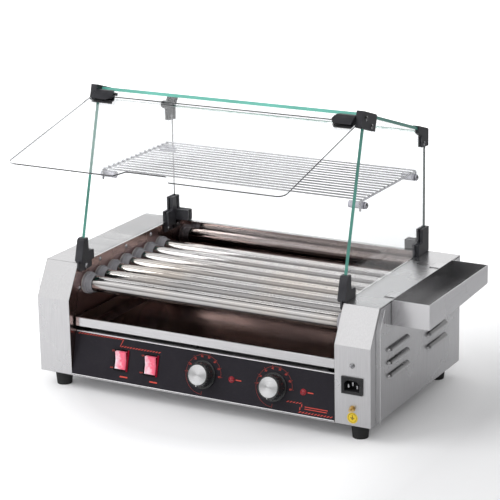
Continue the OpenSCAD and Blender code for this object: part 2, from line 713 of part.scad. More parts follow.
// Clips over the top corners of the side panes; the front ones carry the door's pins.
clip_in = hood_in - glass_t - 2.5;
clip_out = hood_in + 3;
module front_clips() color(black) both_sides() {
    difference() {
        across(clip_in, clip_out) polygon([
            [94, top_at(94) + glass_t + 2], [97, top_at(97) + glass_t + 2.4],
            [139, top_at(139) + glass_t + 2.4], [141, top_at(141) + glass_t + 1.2],
            [134, top_at(134) - 19.5], [90, top_at(90) - 19.5], [87.5, top_at(88) - 17]]);
        glass_slots();
    }
    bar_x(clip_in - hinge_l, clip_in + 1, hinge_d, hinge_z, pin_d / 2);
}
module back_clips() color(black) both_sides() difference() {
    z0 = top_at(pane_back) - 22;
    d0 = back_in - 23;
    across(clip_in, clip_out - 0.5) polygon([
        [d0, top_at(d0) - 5], [d0, top_at(d0) + glass_t + 2],
        [pane_back + 4, top_at(pane_back + 4) + glass_t + 2.4], [pane_back + 6, top_at(pane_back + 6) + glass_t + 1.2],
        [pane_back + 6, z0], [d0 + 12, z0 + 2], [d0 + 12, top_at(d0 + 12) - 7], [d0 + 8, top_at(d0 + 8) - 7]]);
    glass_slots();
}

// The door is drawn lying flat in front of its hinge pin, then tipped to its open angle.
module at_door() translate([0, fy(hinge_d), hinge_z]) rotate([door_open, 0, 0]) children();
door_x = in_x - 2.4;
door_corner = 12;
module door_panel() color([0.85, 0.9, 0.92, 0.3]) at_door()
    translate([0, 0, -door_drop - door_t / 2]) linear_extrude(door_t) difference() {
        y0 = -door_l;
        union() {
            translate([-door_x, y0 + door_corner]) square([2 * door_x, door_l - door_corner - 4]);
            translate([-door_x + door_corner, y0]) square([2 * (door_x - door_corner), door_l - 4]);
            for (s = [-1, 1]) translate([s * (door_x - door_corner), y0 + door_corner])
                circle(r = door_corner);
        }
        polygon([[-notch_w / 2, y0 - 1], [-notch_w / 2, y0], [-notch_w / 2 + notch_h * 0.8, y0 + notch_h],
                 [notch_w / 2 - notch_h * 0.8, y0 + notch_h], [notch_w / 2, y0], [notch_w / 2, y0 - 1]]);
        // Room for the clips
        for (s = [-1, 1]) translate([s * (clip_in - 0.3 + 20) - 20, -14.5]) square([40, 20]);
    }

module door_hinges() color(black) both_sides() at_door() difference() {
    x1 = clip_in - 0.3;
    x0 = x1 - hinge_l + 1;
    low = door_drop + door_t / 2;
    intersection() {
        rotate([90, 0, 90]) linear_extrude(x1) polygon([
            [-21, -low - 1.6], [-21, -1], [-20, 0.4], [-8, 4.4], [-2, 5.8], [3, 5], [5.5, 2], [5.5, -2.5],
            [2, -low - 2], [-19, -low - 2.2]]);
        // Plan with a pointed end
        translate([0, 0, -20]) linear_extrude(40) polygon([
            [x1, -22], [x0 + 8, -22], [x0 + 1, -13], [x0, -10], [x0 + 7, 6], [x1, 6]]);
    }
    translate([x0 - 1, 0, 0]) rotate([0, 90, 0]) cylinder(r = pin_d / 2 + run_fit, h = x1 - x0 + 2);
    translate([-door_x, -door_l, -low]) cube([2 * door_x, door_l - 4, door_t]);
}

// ---- Shelf ----

post_ds = [hood_y + 1, back_in - 27];
module shelf_posts() color([0.9, 0.92, 0.92, 0.6]) both_sides() for (d = post_ds) {
    bar_x(hood_in - glass_t - post_l, hood_in - glass_t, d, post_z, post_d / 2);
    bar_x(hood_in, hood_in + 1.2, d, post_z, post_d / 2 - 0.5);
}

rack_half = hood_in - glass_t - 1.6;
rail_x = rack_half - rail_d / 2;
rail_z = post_z + post_d / 2 + rail_d / 2;
rack_d0 = post_ds[0] - 8.5;
rack_d1 = post_ds[1] + 8.5;
rail_drop = 13;
module shelf_rack() color(bright) {
    for (s = [-1, 1]) translate([s * rail_x, 0, 0]) {
        translate([0, fy(rack_d1), rail_z]) rotate([90, 0, 0]) cylinder(d = rail_d, h = rack_d1 - rack_d0);
        // Ends of the rail turn down past the posts
        for (d = [rack_d0, rack_d1]) translate([0, fy(d), rail_z]) {
            sphere(d = rail_d);
            translate([0, 0, -rail_drop]) cylinder(d = rail_d, h = rail_drop);
            translate([0, 0, -rail_drop]) sphere(d = rail_d);
        }
    }
    wire_z = rail_z + rail_d / 2 + wire_d / 2 - 0.4;
    for (i = [0:wire_n - 1]) {
        d = rack_d0 + 4 + i * (rack_d1 - rack_d0 - 8) / (wire_n - 1);
        bar_x(-rail_x - 0.5, rail_x + 0.5, d, wire_z, wire_d / 2);
        for (s = [-1, 1]) translate([s * (rail_x + 0.5), fy(d), wire_z]) sphere(d = wire_d);
    }
}

// ---- Trays ----

drip_z = deck_z + seat;
drip_x = in_x - 3;
drip_back = back_in - 4;
lip_z = drip_z + 8.8;
module drip_solid(t) intersection() {
    across(-out_x, out_x) polygon([
        [lip_y + t, lip_z + lip_h + (t > 0 ? 1 : 0)], [lip_y + t, lip_z + t * 0.4], [lip_y + 14 + t * 0.6, drip_z + t],
        [drip_back - 8 - t, drip_z + t], [drip_back - t, lip_z + lip_h + (t > 0 ? 1 : 0)]]);
    backwards(0, body_d) polygon([
        [-drip_x + t, lip_z + lip_h + (t > 0 ? 1 : 0)], [-drip_x + t, lip_z], [-drip_x + 22 + t, drip_z + t],
        [drip_x - 22 - t, drip_z + t], [drip_x - t, lip_z], [drip_x - t, lip_z + lip_h + (t > 0 ? 1 : 0)]]);
}
module drip_tray() color(steel) {
    difference() {
        drip_solid(0);
        drip_solid(tray_t);
    }
    // Hem rolled along the lip
    bar_x(-drip_x, drip_x, lip_y + 1.6, lip_z + lip_h - 0.8, 1.6);
}

ut_x = out_x + cover_t + seat;
ut_d = 68.4;
ut_top = body_top + 2;
module utensil_form(t) across(ut_x + t, ut_x + utensil_w - t) polygon([
    [ut_d + t, ut_top - utensil_h + t], [ut_d + t, ut_top + (t > 0 ? 1 : 0)],
    [ut_d + utensil_l - t, ut_top + (t > 0 ? 1 : 0)],
    [ut_d + utensil_l - t, ut_top - utensil_h + utensil_rise + t]]);
module utensil_tray() color(steel) {
    difference() {
        utensil_form(0);
        utensil_form(tray_t);
    }
    for (d = hook_ds) translate([hook_x - tray_t / 2, fy(d) - hook_w / 2, 0]) {
        translate([0, 0, body_top + seat]) cube([ut_x - hook_x + 1, hook_w, tray_t]);
        translate([0, 0, body_top - 8]) cube([tray_t, hook_w, 8 + seat + tray_t]);
    }
}

// ---- Screws ----

// Head of a cross-recessed screw, seated on the surface it holds.
module screw(d) difference() {
    intersection() {
        cylinder(d = 2 * d, h = 0.6 * d);
        translate([0, 0, -0.9 * d]) sphere(r = 1.5 * d);
    }
    for (a = [0, 90]) rotate(a) translate([-0.6 * d, -0.12 * d, 0.3 * d]) cube([1.2 * d, 0.24 * d, d]);
}

module body_screws() color([0.7, 0.7, 0.7]) {
    translate([inlet_x, fy(0), 118.4]) rotate([90, 0, 0]) screw(4);
    both_sides() for (p = [[94, body_top - 10.2], [171.5, body_top - 10.2], [248, body_top - 10.2], [32, 160]])
        translate([in_x, fy(p[0]), p[1]]) rotate([0, -90, 0]) screw(3.5);
    for (x = [-190, -63, 63, 190], z = [45, 180]) translate([x, fy(body_d), z]) rotate([-90, 0, 0]) screw(3.5);
}

module hood_screws() color([0.7, 0.7, 0.7]) both_sides() {
    translate([hood_in - 3, fy(48), body_top - 8.2]) rotate([0, -90, 0]) screw(4);
    translate([hood_in - 3, fy(back_in - 15), body_top - 12.5]) rotate([0, -90, 0]) screw(4);
    for (p = [[104, -3], [122, -13]]) translate([clip_out, fy(p[0]), top_at(p[0]) + p[1]]) rotate([0, 90, 0]) screw(4);
    for (x = [clip_in, clip_out - 0.5]) translate([x, fy(back_in - 4), top_at(pane_back) - 15])
        rotate([0, x < hood_in ? -90 : 90, 0]) screw(3.5);
    for (d = post_ds) translate([hood_in + 1.2, fy(d), post_z]) rotate([0, 90, 0]) screw(4);
}

base_pan();
left_housing();
right_housing();
left_inner_wall();
right_inner_wall();
left_side_cover();
right_side_cover();
back_wall();
control_panel();
panel_facing();
tray_deck();
rubber_feet();
roller_bushes();
heater_rods();
heater_brackets();
drive_motor();
motor_sprocket();
drive_chain();
power_inlet();
earth_stud();
thermostats();
switch_frames();
left_rocker();
right_rocker();
indicator_lamps();
front_knob();
front_knob_face();
rear_knob();
rear_knob_face();
left_glass();
right_glass();
back_glass();
top_glass();
front_clamps();
back_clamps();
front_clips();
back_clips();
door_panel();
door_hinges();
shelf_posts();
shelf_rack();
drip_tray();
utensil_tray();
body_screws();
hood_screws();
for (i = [1:roller_n]) {
    color(bright) roller(i);
    color(grey) roller_collars(i);
}
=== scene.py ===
"""Finishes and small pieces of a counter-top hot dog roller grill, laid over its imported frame."""

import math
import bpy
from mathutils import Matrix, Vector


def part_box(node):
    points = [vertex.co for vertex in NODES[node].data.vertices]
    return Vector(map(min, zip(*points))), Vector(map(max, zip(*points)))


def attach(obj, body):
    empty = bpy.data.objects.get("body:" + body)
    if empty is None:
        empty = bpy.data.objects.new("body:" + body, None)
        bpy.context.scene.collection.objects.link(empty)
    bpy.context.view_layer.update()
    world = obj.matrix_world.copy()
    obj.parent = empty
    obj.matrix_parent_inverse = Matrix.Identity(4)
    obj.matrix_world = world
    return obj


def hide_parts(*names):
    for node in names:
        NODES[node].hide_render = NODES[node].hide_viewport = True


bl_info = {
    "name": "Roller grill finishes",
    "version": (1, 0, 0),
    "blender": (4, 5, 0),
    "location": "View3D > Sidebar > Roller grill",
    "description": "Adds the finishes, printed marks, glass edges and studio of a hot dog roller grill",
    "category": "Object",
}

import bmesh
import bpy
import numpy as np
from bpy.props import FloatProperty, FloatVectorProperty, IntProperty, PointerProperty
from mathutils import Matrix, Vector

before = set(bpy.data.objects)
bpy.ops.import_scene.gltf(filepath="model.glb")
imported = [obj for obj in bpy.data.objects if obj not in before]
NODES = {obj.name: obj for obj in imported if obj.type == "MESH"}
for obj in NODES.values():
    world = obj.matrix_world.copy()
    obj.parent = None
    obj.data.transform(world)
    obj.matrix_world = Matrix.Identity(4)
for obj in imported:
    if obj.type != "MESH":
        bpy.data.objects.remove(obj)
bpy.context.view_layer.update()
MM = 0.001
NEAR = 0.00001
PANE_END = 0.012    # longer than the panes are thick, and shorter than any other side of theirs


# ---- Places read from the frame ----

def node_box(name):
    """Lowest and highest corner of a CAD node as two arrays, in metres."""
    low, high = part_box(name)
    return np.array(low), np.array(high)


def middle(name):
    """Middle of a CAD node's box."""
    low, high = node_box(name)
    return (low + high) / 2


FACING_LOW, FACING_HIGH = node_box("panel_facing")
FRONT_SKIN = max((f for f in NODES["panel_facing"].data.polygons if f.normal.y < -0.5), key=lambda f: f.area)
PANEL_OUT = np.array([0.0, FRONT_SKIN.normal.y, FRONT_SKIN.normal.z])
PANEL_OUT /= np.linalg.norm(PANEL_OUT)
PANEL_UP = np.array([0.0, PANEL_OUT[2], -PANEL_OUT[1]])
# The point at x = 0 on the front skin of the facing, level with the facing's lower edge
SKIN_POINT = np.array([0.0, FRONT_SKIN.center.y, FRONT_SKIN.center.z])
PANEL_FOOT = SKIN_POINT + PANEL_UP * (FACING_LOW[2] - SKIN_POINT[2]) / PANEL_UP[2]
ROLLERS = sorted(n for n in NODES if n.startswith("roller_") and n[-1].isdigit())


def on_panel(x, up, out):
    """Point at x, a distance up the leaning panel and a distance out of its face."""
    return np.array([x, 0.0, 0.0]) + PANEL_FOOT + PANEL_UP * up + PANEL_OUT * out


def up_panel(point):
    """Distance of a point up the leaning panel from its lower edge."""
    return float(np.dot(np.array(point) - PANEL_FOOT, PANEL_UP))


# ---- Mesh building ----

def show(piece, body, finish):
    """Links a new piece to the scene, riding on a body and its finish."""
    bpy.context.scene.collection.objects.link(piece)
    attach(piece, body)
    piece.data.materials.clear()
    piece.data.materials.append(finish.material)


def new_piece(name, shape, body, finish, smooth=False):
    """A closed mesh object from a shape, which is an array of points and an array or list of faces."""
    points, faces = shape
    mesh = bpy.data.meshes.new(name)
    mesh.from_pydata(np.asarray(points, float).tolist(), [], [list(map(int, f)) for f in faces])
    mesh.validate()
    mesh.update()
    mesh.shade_smooth() if smooth else mesh.shade_flat()
    face_out(mesh)
    piece = bpy.data.objects.new(name, mesh)
    show(piece, body, finish)
    return piece


def face_out(mesh):
    """Turns a mesh's faces outwards."""
    work = bmesh.new()
    work.from_mesh(mesh)
    bmesh.ops.recalc_face_normals(work, faces=work.faces)
    work.to_mesh(mesh)
    work.free()


def lathe(profile, origin, axis, steps):
    """Turns a profile of (radius, height) pairs round an axis through origin.

    A point at angle a is origin + axis * height + radius * (side * cos a + other * sin a),
    and the first and last pair are closed with a fan when their radius is zero.
    """
    profile = np.asarray(profile, float)
    axis = np.asarray(axis, float) / np.linalg.norm(axis)
    side = np.cross(axis, [1.0, 0.0, 0.0])
    side /= np.linalg.norm(side)
    other = np.cross(axis, side)
    a = np.linspace(0, 2 * math.pi, steps, endpoint=False)
    ring = np.cos(a)[:, None] * side + np.sin(a)[:, None] * other
    points = np.asarray(origin) + profile[:, 1, None, None] * axis + profile[:, 0, None, None] * ring
    row, column = np.meshgrid(np.arange(len(profile) - 1) * steps, np.arange(steps), indexing="ij")
    following = (column + 1) % steps
    quads = np.stack([row + steps + column, row + steps + following, row + following, row + column], axis=-1)
    return points.reshape(-1, 3), quads.reshape(-1, 4)


def prism(outline, plane, height):
    """A flat closed outline of (a, b) pairs raised by height.

    plane is (origin, a axis, b axis); the top lies at height along their cross product.
    """
    origin, u, v = (np.asarray(p, float) for p in plane)
    outline = np.asarray(outline, float)
    low = origin + outline[:, :1] * u + outline[:, 1:] * v
    high = low + np.cross(u, v) * height
    n = len(outline)
    i = np.arange(n)
    sides = np.stack([i, (i + 1) % n, (i + 1) % n + n, i + n], axis=-1)
    return np.vstack([low, high]), [*sides.tolist(), list(range(n - 1, -1, -1)), list(range(n, 2 * n))]


def join(parts):
    """Several (points, faces) pairs as one."""
    points, faces, start = [], [], 0
    for p, f in parts:
        points.append(np.asarray(p))
        faces.extend([[int(i) + start for i in face] for face in f])
        start += len(p)
    return np.vstack(points), faces


def arc(radius, start, end, steps):
    """Points on a circle round the origin between two angles in degrees."""
    a = np.radians(np.linspace(start, end, steps))
    return np.stack([radius * np.cos(a), radius * np.sin(a)], axis=-1)


def band(line, width):
    """Outline of a flat band of a width along a line of (a, b) points."""
    along = np.gradient(line, axis=0)
    along /= np.linalg.norm(along, axis=1, keepdims=True)
    across = np.stack([-along[:, 1], along[:, 0]], axis=-1) * (width / 2)
    return np.vstack([line - across, (line + across)[::-1]])


def bar(start, end, width):
    """Outline of a straight flat bar between two (a, b) points."""
    return band(np.array([start, end]), width)


def hatch(start, end, width):
    """Outlines of slanting strokes, side by side along a line, that together make a band of a width."""
    pitch, stroke, slant = 0.0052, 0.0021, 1.4
    start, end = np.asarray(start, float), np.asarray(end, float)
    length = np.linalg.norm(end - start)
    along = (end - start) / length
    across = np.array([-along[1], along[0]]) * width / 2
    outlines = []
    for t in np.arange(stroke, length - stroke, pitch):
        foot = start + along * t - across
        head = start + along * (t + width * slant) + across
        half = along * stroke / 2
        outlines.append(np.array([foot - half, foot + half, head + half, head - half]))
    return outlines


def soften(node, width):
    """Rounds the edges of a CAD node with modifiers, and leaves its mesh alone."""
    piece = NODES[node]
    weld = piece.modifiers.new("weld", "WELD")
    weld.merge_threshold = 1e-6
    bevel = piece.modifiers.new("edge", "BEVEL")
    bevel.width = width
    bevel.segments = 2
    bevel.limit_method = "ANGLE"
    bevel.angle_limit = math.radians(32.0)
    bevel.harden_normals = True


def corners_of(name):
    """All the points of a CAD node's mesh as an array."""
    mesh = NODES[name].data
    co = np.empty(len(mesh.vertices) * 3)
    mesh.vertices.foreach_get("co", co)
    return co.reshape(-1, 3)


def edge_strips(name, runs, body, finish, off):
    """Thin strips over the ground edges of a pane.

    Each run is (start, end, across, out): a strip from start to end, as wide as across, standing out by off.
    """
    faces = [[0, 1, 2, 3], [7, 6, 5, 4], [0, 4, 5, 1], [1, 5, 6, 2], [2, 6, 7, 3], [3, 7, 4, 0]]
    section = ((-0.5, off * 0.15), (-0.5, off), (0.5, off), (0.5, off * 0.15))
    parts = []
    for start, end, across, out in runs:
        start, end, across, out = (np.asarray(v, float) for v in (start, end, across, out))
        corners = [p + across * side + out * rise for p in (start, end) for side, rise in section]
        parts.append((corners, faces))
    new_piece(name, join(parts), body, finish)


def outline_runs(outline, low_x, high_x, longest=1.0):
    """Strips as wide as a pane in x, along the sides of its (y, z) outline that are shorter than longest."""
    x = (low_x + high_x) / 2
    runs = []
    for a, b in zip(outline, np.roll(outline, -1, axis=0)):
        side = b - a
        length = np.linalg.norm(side)
        if 0.0 < length < longest:
            out = np.array([0.0, side[1], -side[0]]) / length
            runs.append(([x, *a], [x, *b], [high_x - low_x, 0.0, 0.0], out))
    return runs


def end_runs(outline, low_x, high_x):
    """Strips over the two ends in x of a pane whose (y, z) outline is long and thin."""
    sides = np.roll(outline, -1, axis=0) - outline
    lengths = np.linalg.norm(sides, axis=1)
    thin = np.where(lengths < PANE_END)[0]
    middles = [outline[i] + sides[i] / 2 for i in thin]
    start, end = min(middles, key=lambda p: p[0] + p[1]), max(middles, key=lambda p: p[0] + p[1])
    along = (end - start) / np.linalg.norm(end - start)
    across = np.array([0.0, -along[1], along[0]]) * lengths[thin].max()
    return [([x, *start], [x, *end], across, [sign, 0.0, 0.0])
            for x, sign in ((low_x, -1.0), (high_x, 1.0))]


def face_loop(name):
    """Corners round the largest flat face of a pane, in order, with that face's outward normal."""
    mesh = NODES[name].data
    widest = max(mesh.polygons, key=lambda f: f.area)
    normal, height = widest.normal.copy(), widest.normal.dot(widest.center)
    outer = {}
    for f in mesh.polygons:
        if f.normal.dot(normal) > 0.999 and abs(normal.dot(f.center) - height) < NEAR:
            corners = [tuple(round(v, 6) for v in mesh.vertices[i].co) for i in f.vertices]
            for a, b in zip(corners, corners[1:] + corners[:1]):
                # A side that two triangles share lies inside the face
                if outer.pop((b, a), None) is None:
                    outer[(a, b)] = True
    ahead = dict(outer.keys())
    loop = [next(iter(ahead))]
    while ahead[loop[-1]] != loop[0]:
        loop.append(ahead[loop[-1]])
    return np.array(loop), np.array(normal)


def side_outline(name):
    """Corners of a pane as (y, z) pairs, in order round it, from its mesh."""
    yz = np.unique(np.round(corners_of(name)[:, 1:], 6), axis=0)
    centre = yz.mean(axis=0)
    turn = np.arctan2(yz[:, 1] - centre[1], yz[:, 0] - centre[0])
    return yz[np.argsort(turn)]


# ---- Shader building ----

def rgb(colour):
    return (*colour[:3], 1.0)


def shade(colour, factor, lift=0.0):
    """A colour times a factor plus a lift, held at 1."""
    return [min(1.0, c * factor + lift) for c in colour]


class Net:
    """Adds nodes to a tree and joins them, so that a material reads as one list of steps."""

    def __init__(self, tree):
        self.tree = tree

    def add(self, kind, settings=None, **inputs):
        """A node of a kind; settings are its properties and inputs its sockets' values or links."""
        node = self.tree.nodes.new("ShaderNode" + kind)
        for key, value in (settings or {}).items():
            setattr(node, key, value)
        self.put(node, **inputs)
        return node

    def put(self, node, **inputs):
        """Sets sockets, named or numbered as i0, i1, to values or to another node's socket."""
        for key, value in inputs.items():
            numbered = key[0] == "i" and key[1:].isdigit()
            socket = node.inputs[int(key[1:])] if numbered else node.inputs[key.replace("_", " ")]
            if isinstance(value, bpy.types.Node):
                value = value.outputs[0]
            if isinstance(value, bpy.types.NodeSocket):
                self.tree.links.new(value, socket)
            else:
                socket.default_value = value

    def math(self, operation, a, b=0.5):
        return self.add("Math", {"operation": operation}, i0=a, i1=b)

    def times(self, a, b):
        return self.math("MULTIPLY", a, b)

    def ramp(self, value, low, high, to_low=0.0, to_high=1.0):
        """Carries a value from one range to another, held at both ends."""
        return self.add("MapRange", i0=value, i1=low, i2=high, i3=to_low, i4=to_high)

    def drift(self, noise, low, high):
        """Goes from one value to another over the usual range of a noise."""
        return self.ramp(noise, 0.3, 0.7, low, high)

    def blend(self, factor, a, b):
        """Mixes two colours, each plain or from a node, by a factor."""
        a, b = (c if isinstance(c, bpy.types.NodeSocket) else rgb(c) for c in (a, b))
        return self.add("Mix", {"data_type": "RGBA"}, i0=factor, i6=a, i7=b).outputs[2]

    def tones(self, value, a, b, low=0.3, high=0.7):
        """Goes from one colour to another as a value goes from low to high."""
        return self.blend(self.ramp(value, low, high), a, b)

    def noise(self, vector, scale, detail=2.0, **inputs):
        return self.add("TexNoise", Vector=vector, Scale=scale, Detail=detail, **inputs)

    def part(self, vector, axis):
        """One axis of a vector."""
        return self.add("SeparateXYZ", Vector=vector).outputs[axis]


def group(name, inputs, outputs, build):
    """A shader node group with named sockets.

    Inputs are named defaults, and a Vector comes before them. The function build takes the group's Net
    and the sockets of its inputs, and gives back one value for each of the named outputs.
    """
    tree = bpy.data.node_groups.new(name, "ShaderNodeTree")
    tree.interface.new_socket("Vector", in_out="INPUT", socket_type="NodeSocketVector")
    for label, default in inputs.items():
        kind = "NodeSocketFloat" if isinstance(default, float) else "NodeSocketVector"
        tree.interface.new_socket(label, in_out="INPUT", socket_type=kind).default_value = default
    for label in outputs:
        tree.interface.new_socket(label, in_out="OUTPUT", socket_type="NodeSocketFloat")
    start, end = tree.nodes.new("NodeGroupInput"), tree.nodes.new("NodeGroupOutput")
    net = Net(tree)
    net.put(end, **dict(zip(outputs, build(net, start.outputs))))
    return tree


def brushed_grain(net, given):
    """Noise stretched along one axis, with broad cloudiness beside it."""
    stretched = net.add("VectorMath", {"operation": "MULTIPLY"}, i0=given["Vector"], i1=given["Along"])
    fine = net.noise(stretched, given["Fineness"], 3.0, Roughness=0.6)
    return fine, net.noise(given["Vector"], 9.0)


def handling_marks(net, given):
    """Soft blotches and fine specks, each as a mask between 0 and 1."""
    broad = net.noise(given["Vector"], given["Size"], 5.0, Roughness=0.65, Distortion=0.6)
    dots = net.add("TexVoronoi", Vector=given["Vector"], Scale=420.0)
    return net.ramp(broad, 0.48, 0.72), net.ramp(dots.outputs["Distance"], 0.16, 0.05)


def moulded_skin(net, given):
    """A fine leathery height and a slow unevenness."""
    return net.noise(given["Vector"], given["Fineness"]), net.noise(given["Vector"], 40.0)


GROUPS = {
    "grain": group("Brushed grain", {"Fineness": 900.0, "Along": (1.0, 30.0, 1.0)}, ("Grain", "Cloud"),
                   brushed_grain),
    "marks": group("Handling marks", {"Size": 18.0}, ("Blotch", "Specks"), handling_marks),
    "skin": group("Moulded skin", {"Fineness": 1400.0}, ("Height", "Uneven"), moulded_skin),
}


class Finish(Net):
    """A new material, with its Principled shader and its Object coordinates."""

    def __init__(self, name):
        self.material = bpy.data.materials.new(name)
        self.material.use_nodes = True
        super().__init__(self.material.node_tree)
        self.shader = self.tree.nodes["Principled BSDF"]
        self.coords = self.add("TexCoord").outputs["Object"]

    def set(self, **inputs):
        """Sets sockets of the Principled shader."""
        self.put(self.shader, **inputs)

    def shared(self, name, **inputs):
        """The outputs of a shared node group that is placed here with its own values."""
        return [*self.add("Group", {"node_tree": GROUPS[name]}, Vector=self.coords, **inputs).outputs]

    def cloud(self, scale, detail=2.0):
        return self.noise(self.coords, scale, detail)

    def place(self, axis):
        return self.part(self.coords, axis)

    def facing(self, axis):
        """How far the surface faces along an axis."""
        return self.part(self.add("NewGeometry").outputs["Normal"], axis)

    def shade_in_hollows(self, reach, low, high, most):
        """A mask for painted shade in corners and gaps, as strong as most where they are deepest."""
        openness = self.add("AmbientOcclusion", {"samples": 8}, Distance=reach).outputs["AO"]
        return self.ramp(openness, low, high, most, 0.0)

    def bump(self, height, strength, distance):
        self.set(Normal=self.add("Bump", Strength=strength, Distance=distance, Height=height))

    def surface(self, shader):
        """Sends another shader to the material's output."""
        self.put(self.tree.nodes["Material Output"], Surface=shader)


def dress(names, finish):
    """Puts one finish on a list of CAD nodes."""
    for name in names:
        materials = NODES[name].data.materials
        materials.clear()
        materials.append(finish.material)


# ---- Finishes ----

WHITE = (1.0, 1.0, 1.0, 1.0)
SHEET_GRAIN = 700.0
SHEET_BUMP = (0.35, 0.000006)     # strength, and depth in metres
FINE_BUMP = (0.3, 0.00001)
# How far grain is squeezed along each axis: it runs along the one that is squeezed most
ALONG_X, ALONG_Y, ALONG_Z = (0.03, 1.0, 1.0), (1.0, 0.03, 1.0), (1.0, 1.0, 0.03)
WIPED = (1.0, 2.5, 0.6)


def sheet_steel(name, colour, along, roughness, reach=0.012, hollow_shade=0.55, lid_shade=0.0):
    """Satin stainless sheet, brushed along one axis, with painted shade in corners and on up-facing faces
    such as the lids of louvres.
    """
    f = Finish(name)
    grain, cloud = f.shared("grain", Fineness=SHEET_GRAIN, Along=along)
    blotch, _ = f.shared("marks", Size=11.0)
    tone = f.tones(grain, shade(colour, 0.9), colour)
    tone = f.blend(f.times(blotch, 0.06), tone, shade(colour, 0.86))
    # Painted shade: darker where corners and gaps close round the surface
    tone = f.blend(f.shade_in_hollows(reach, 0.35, 0.95, hollow_shade), tone, shade(colour, 0.3))
    # Painted shade on faces that look upwards, such as the louvres' lids
    if lid_shade:
        tone = f.blend(f.ramp(f.facing("Z"), 0.25, 0.6, 0.0, lid_shade), tone, shade(colour, 0.25))
    rough = f.drift(cloud, roughness - 0.06, roughness + 0.06)
    f.set(Base_Color=tone, Roughness=f.math("ADD", rough, f.times(blotch, 0.015)), Metallic=1.0)
    f.bump(grain, *SHEET_BUMP)
    return f


def bright_sheet(name, colour, outer):
    """Bright annealed sheet: nearly a mirror, with brown streaks where it faces the rollers, partly heat
    tint and partly a painted reflection of the sausages, and satin outside.
    """
    f = Finish(name)
    blotch, _ = f.shared("marks", Size=14.0)
    streaks, _ = f.shared("grain", Fineness=90.0, Along=(0.012, 1.0, 1.0))
    # Brown streaks: partly heat tint, partly a painted reflection of the sausages
    brown = (colour[0] * 0.55, colour[1] * 0.47, colour[2] * 0.45)
    stain_and_reflection = f.tones(streaks, brown, shade(colour, 1.4), 0.38, 0.62)
    stain_and_reflection = f.blend(f.times(blotch, 0.35), stain_and_reflection, shade(colour, 0.8))
    plain = f.tones(streaks, shade(outer, 0.94), outer)
    outside = f.ramp(f.facing("Y"), -0.6, -0.4)
    rough = f.math("ADD", f.ramp(blotch, 0.0, 1.0, 0.04, 0.12), f.times(outside, 0.22))
    f.set(Base_Color=f.blend(outside, stain_and_reflection, plain), Roughness=rough, Metallic=1.0)
    f.bump(f.cloud(5.0, 1.0), 0.3, 0.0006)
    return f


def roller_steel(name, colour):
    """Polished roller tube: fine lines along it, a straw tint from heat, painted shade between its
    neighbours and on its underside.
    """
    f = Finish(name)
    grain, _ = f.shared("grain", Fineness=300.0, Along=(0.01, 1.0, 1.0))
    tone = f.blend(f.ramp(f.cloud(7.0, 3.0), 0.4, 0.7, 0.0, 0.6), colour, (0.7, 0.6, 0.5))
    # Painted shade in the gaps between neighbouring rollers
    tone = f.blend(f.shade_in_hollows(0.03, 0.55, 0.95, 0.92), tone, (0.05, 0.045, 0.045))
    # Painted shade on the faces that look downwards
    tone = f.blend(f.ramp(f.facing("Z"), -0.05, -0.4, 0.0, 0.7), tone, (0.1, 0.09, 0.09))
    f.set(Base_Color=tone, Roughness=f.ramp(grain, 0.25, 0.75, 0.09, 0.15), Metallic=1.0)
    f.bump(grain, 0.15, 0.000002)
    return f


def moulded_plastic(name, colour, roughness, fineness, depth=0.00003, coat=0.0, shine=0.35):
    """Moulded plastic with a fine texture and slightly uneven gloss."""
    f = Finish(name)
    height, uneven = f.shared("skin", Fineness=fineness)
    f.set(Base_Color=f.tones(uneven, colour, shade(colour, 1.35, 0.006), 0.35, 0.65),
          Roughness=f.drift(uneven, roughness - 0.05, roughness + 0.06),
          Specular_IOR_Level=shine, Coat_Weight=coat, Coat_Roughness=0.08)
    f.bump(height, 0.5, depth)
    return f


def worn_metal(name, colour, roughness, dirt):
    """Cast, turned or oiled metal: mottled, with darker patches."""
    f = Finish(name)
    blotch, _ = f.shared("marks", Size=60.0)
    fine = f.cloud(700.0, 3.0)
    rough = f.drift(fine, roughness - 0.08, roughness + 0.1)
    f.set(Base_Color=f.blend(blotch, colour, dirt), Roughness=rough, Metallic=1.0)
    f.bump(fine, 0.4, 0.00004)
    return f


def black_facing(name):
    """Glossy black printed film over the panel, with fine dust."""
    f = Finish(name)
    blotch, specks = f.shared("marks", Size=26.0)
    film = f.blend(f.times(blotch, 0.4), (0.018, 0.016, 0.021), (0.026, 0.024, 0.029))
    f.set(Base_Color=f.blend(f.times(specks, 0.2), film, (0.2, 0.2, 0.2)),
          Roughness=f.ramp(blotch, 0.0, 1.0, 0.3, 0.38), Specular_IOR_Level=0.2)
    f.bump(f.cloud(1600.0, 1.0), *FINE_BUMP)
    return f


def ink(name, colour):
    """Screen-printed ink: slightly broken colour and a matt skin."""
    f = Finish(name)
    broken = f.cloud(900.0)
    f.set(Base_Color=f.tones(broken, colour, shade(colour, 0.72), 0.35, 0.7),
          Roughness=f.drift(broken, 0.45, 0.6))
    f.bump(broken, *FINE_BUMP)
    return f


def lit_lens(name, colour, glow, strength):
    """Translucent lens with light behind it, brighter where it is thin."""
    f = Finish(name)
    thin = f.cloud(90.0)
    f.set(Base_Color=f.tones(thin, colour, shade(colour, 1.1, 0.01), 0.35, 0.65),
          Emission_Color=f.tones(thin, glow, shade(glow, 0.8), 0.35, 0.65), Emission_Strength=strength,
          Roughness=f.drift(thin, 0.06, 0.18), Coat_Weight=0.6)
    return f


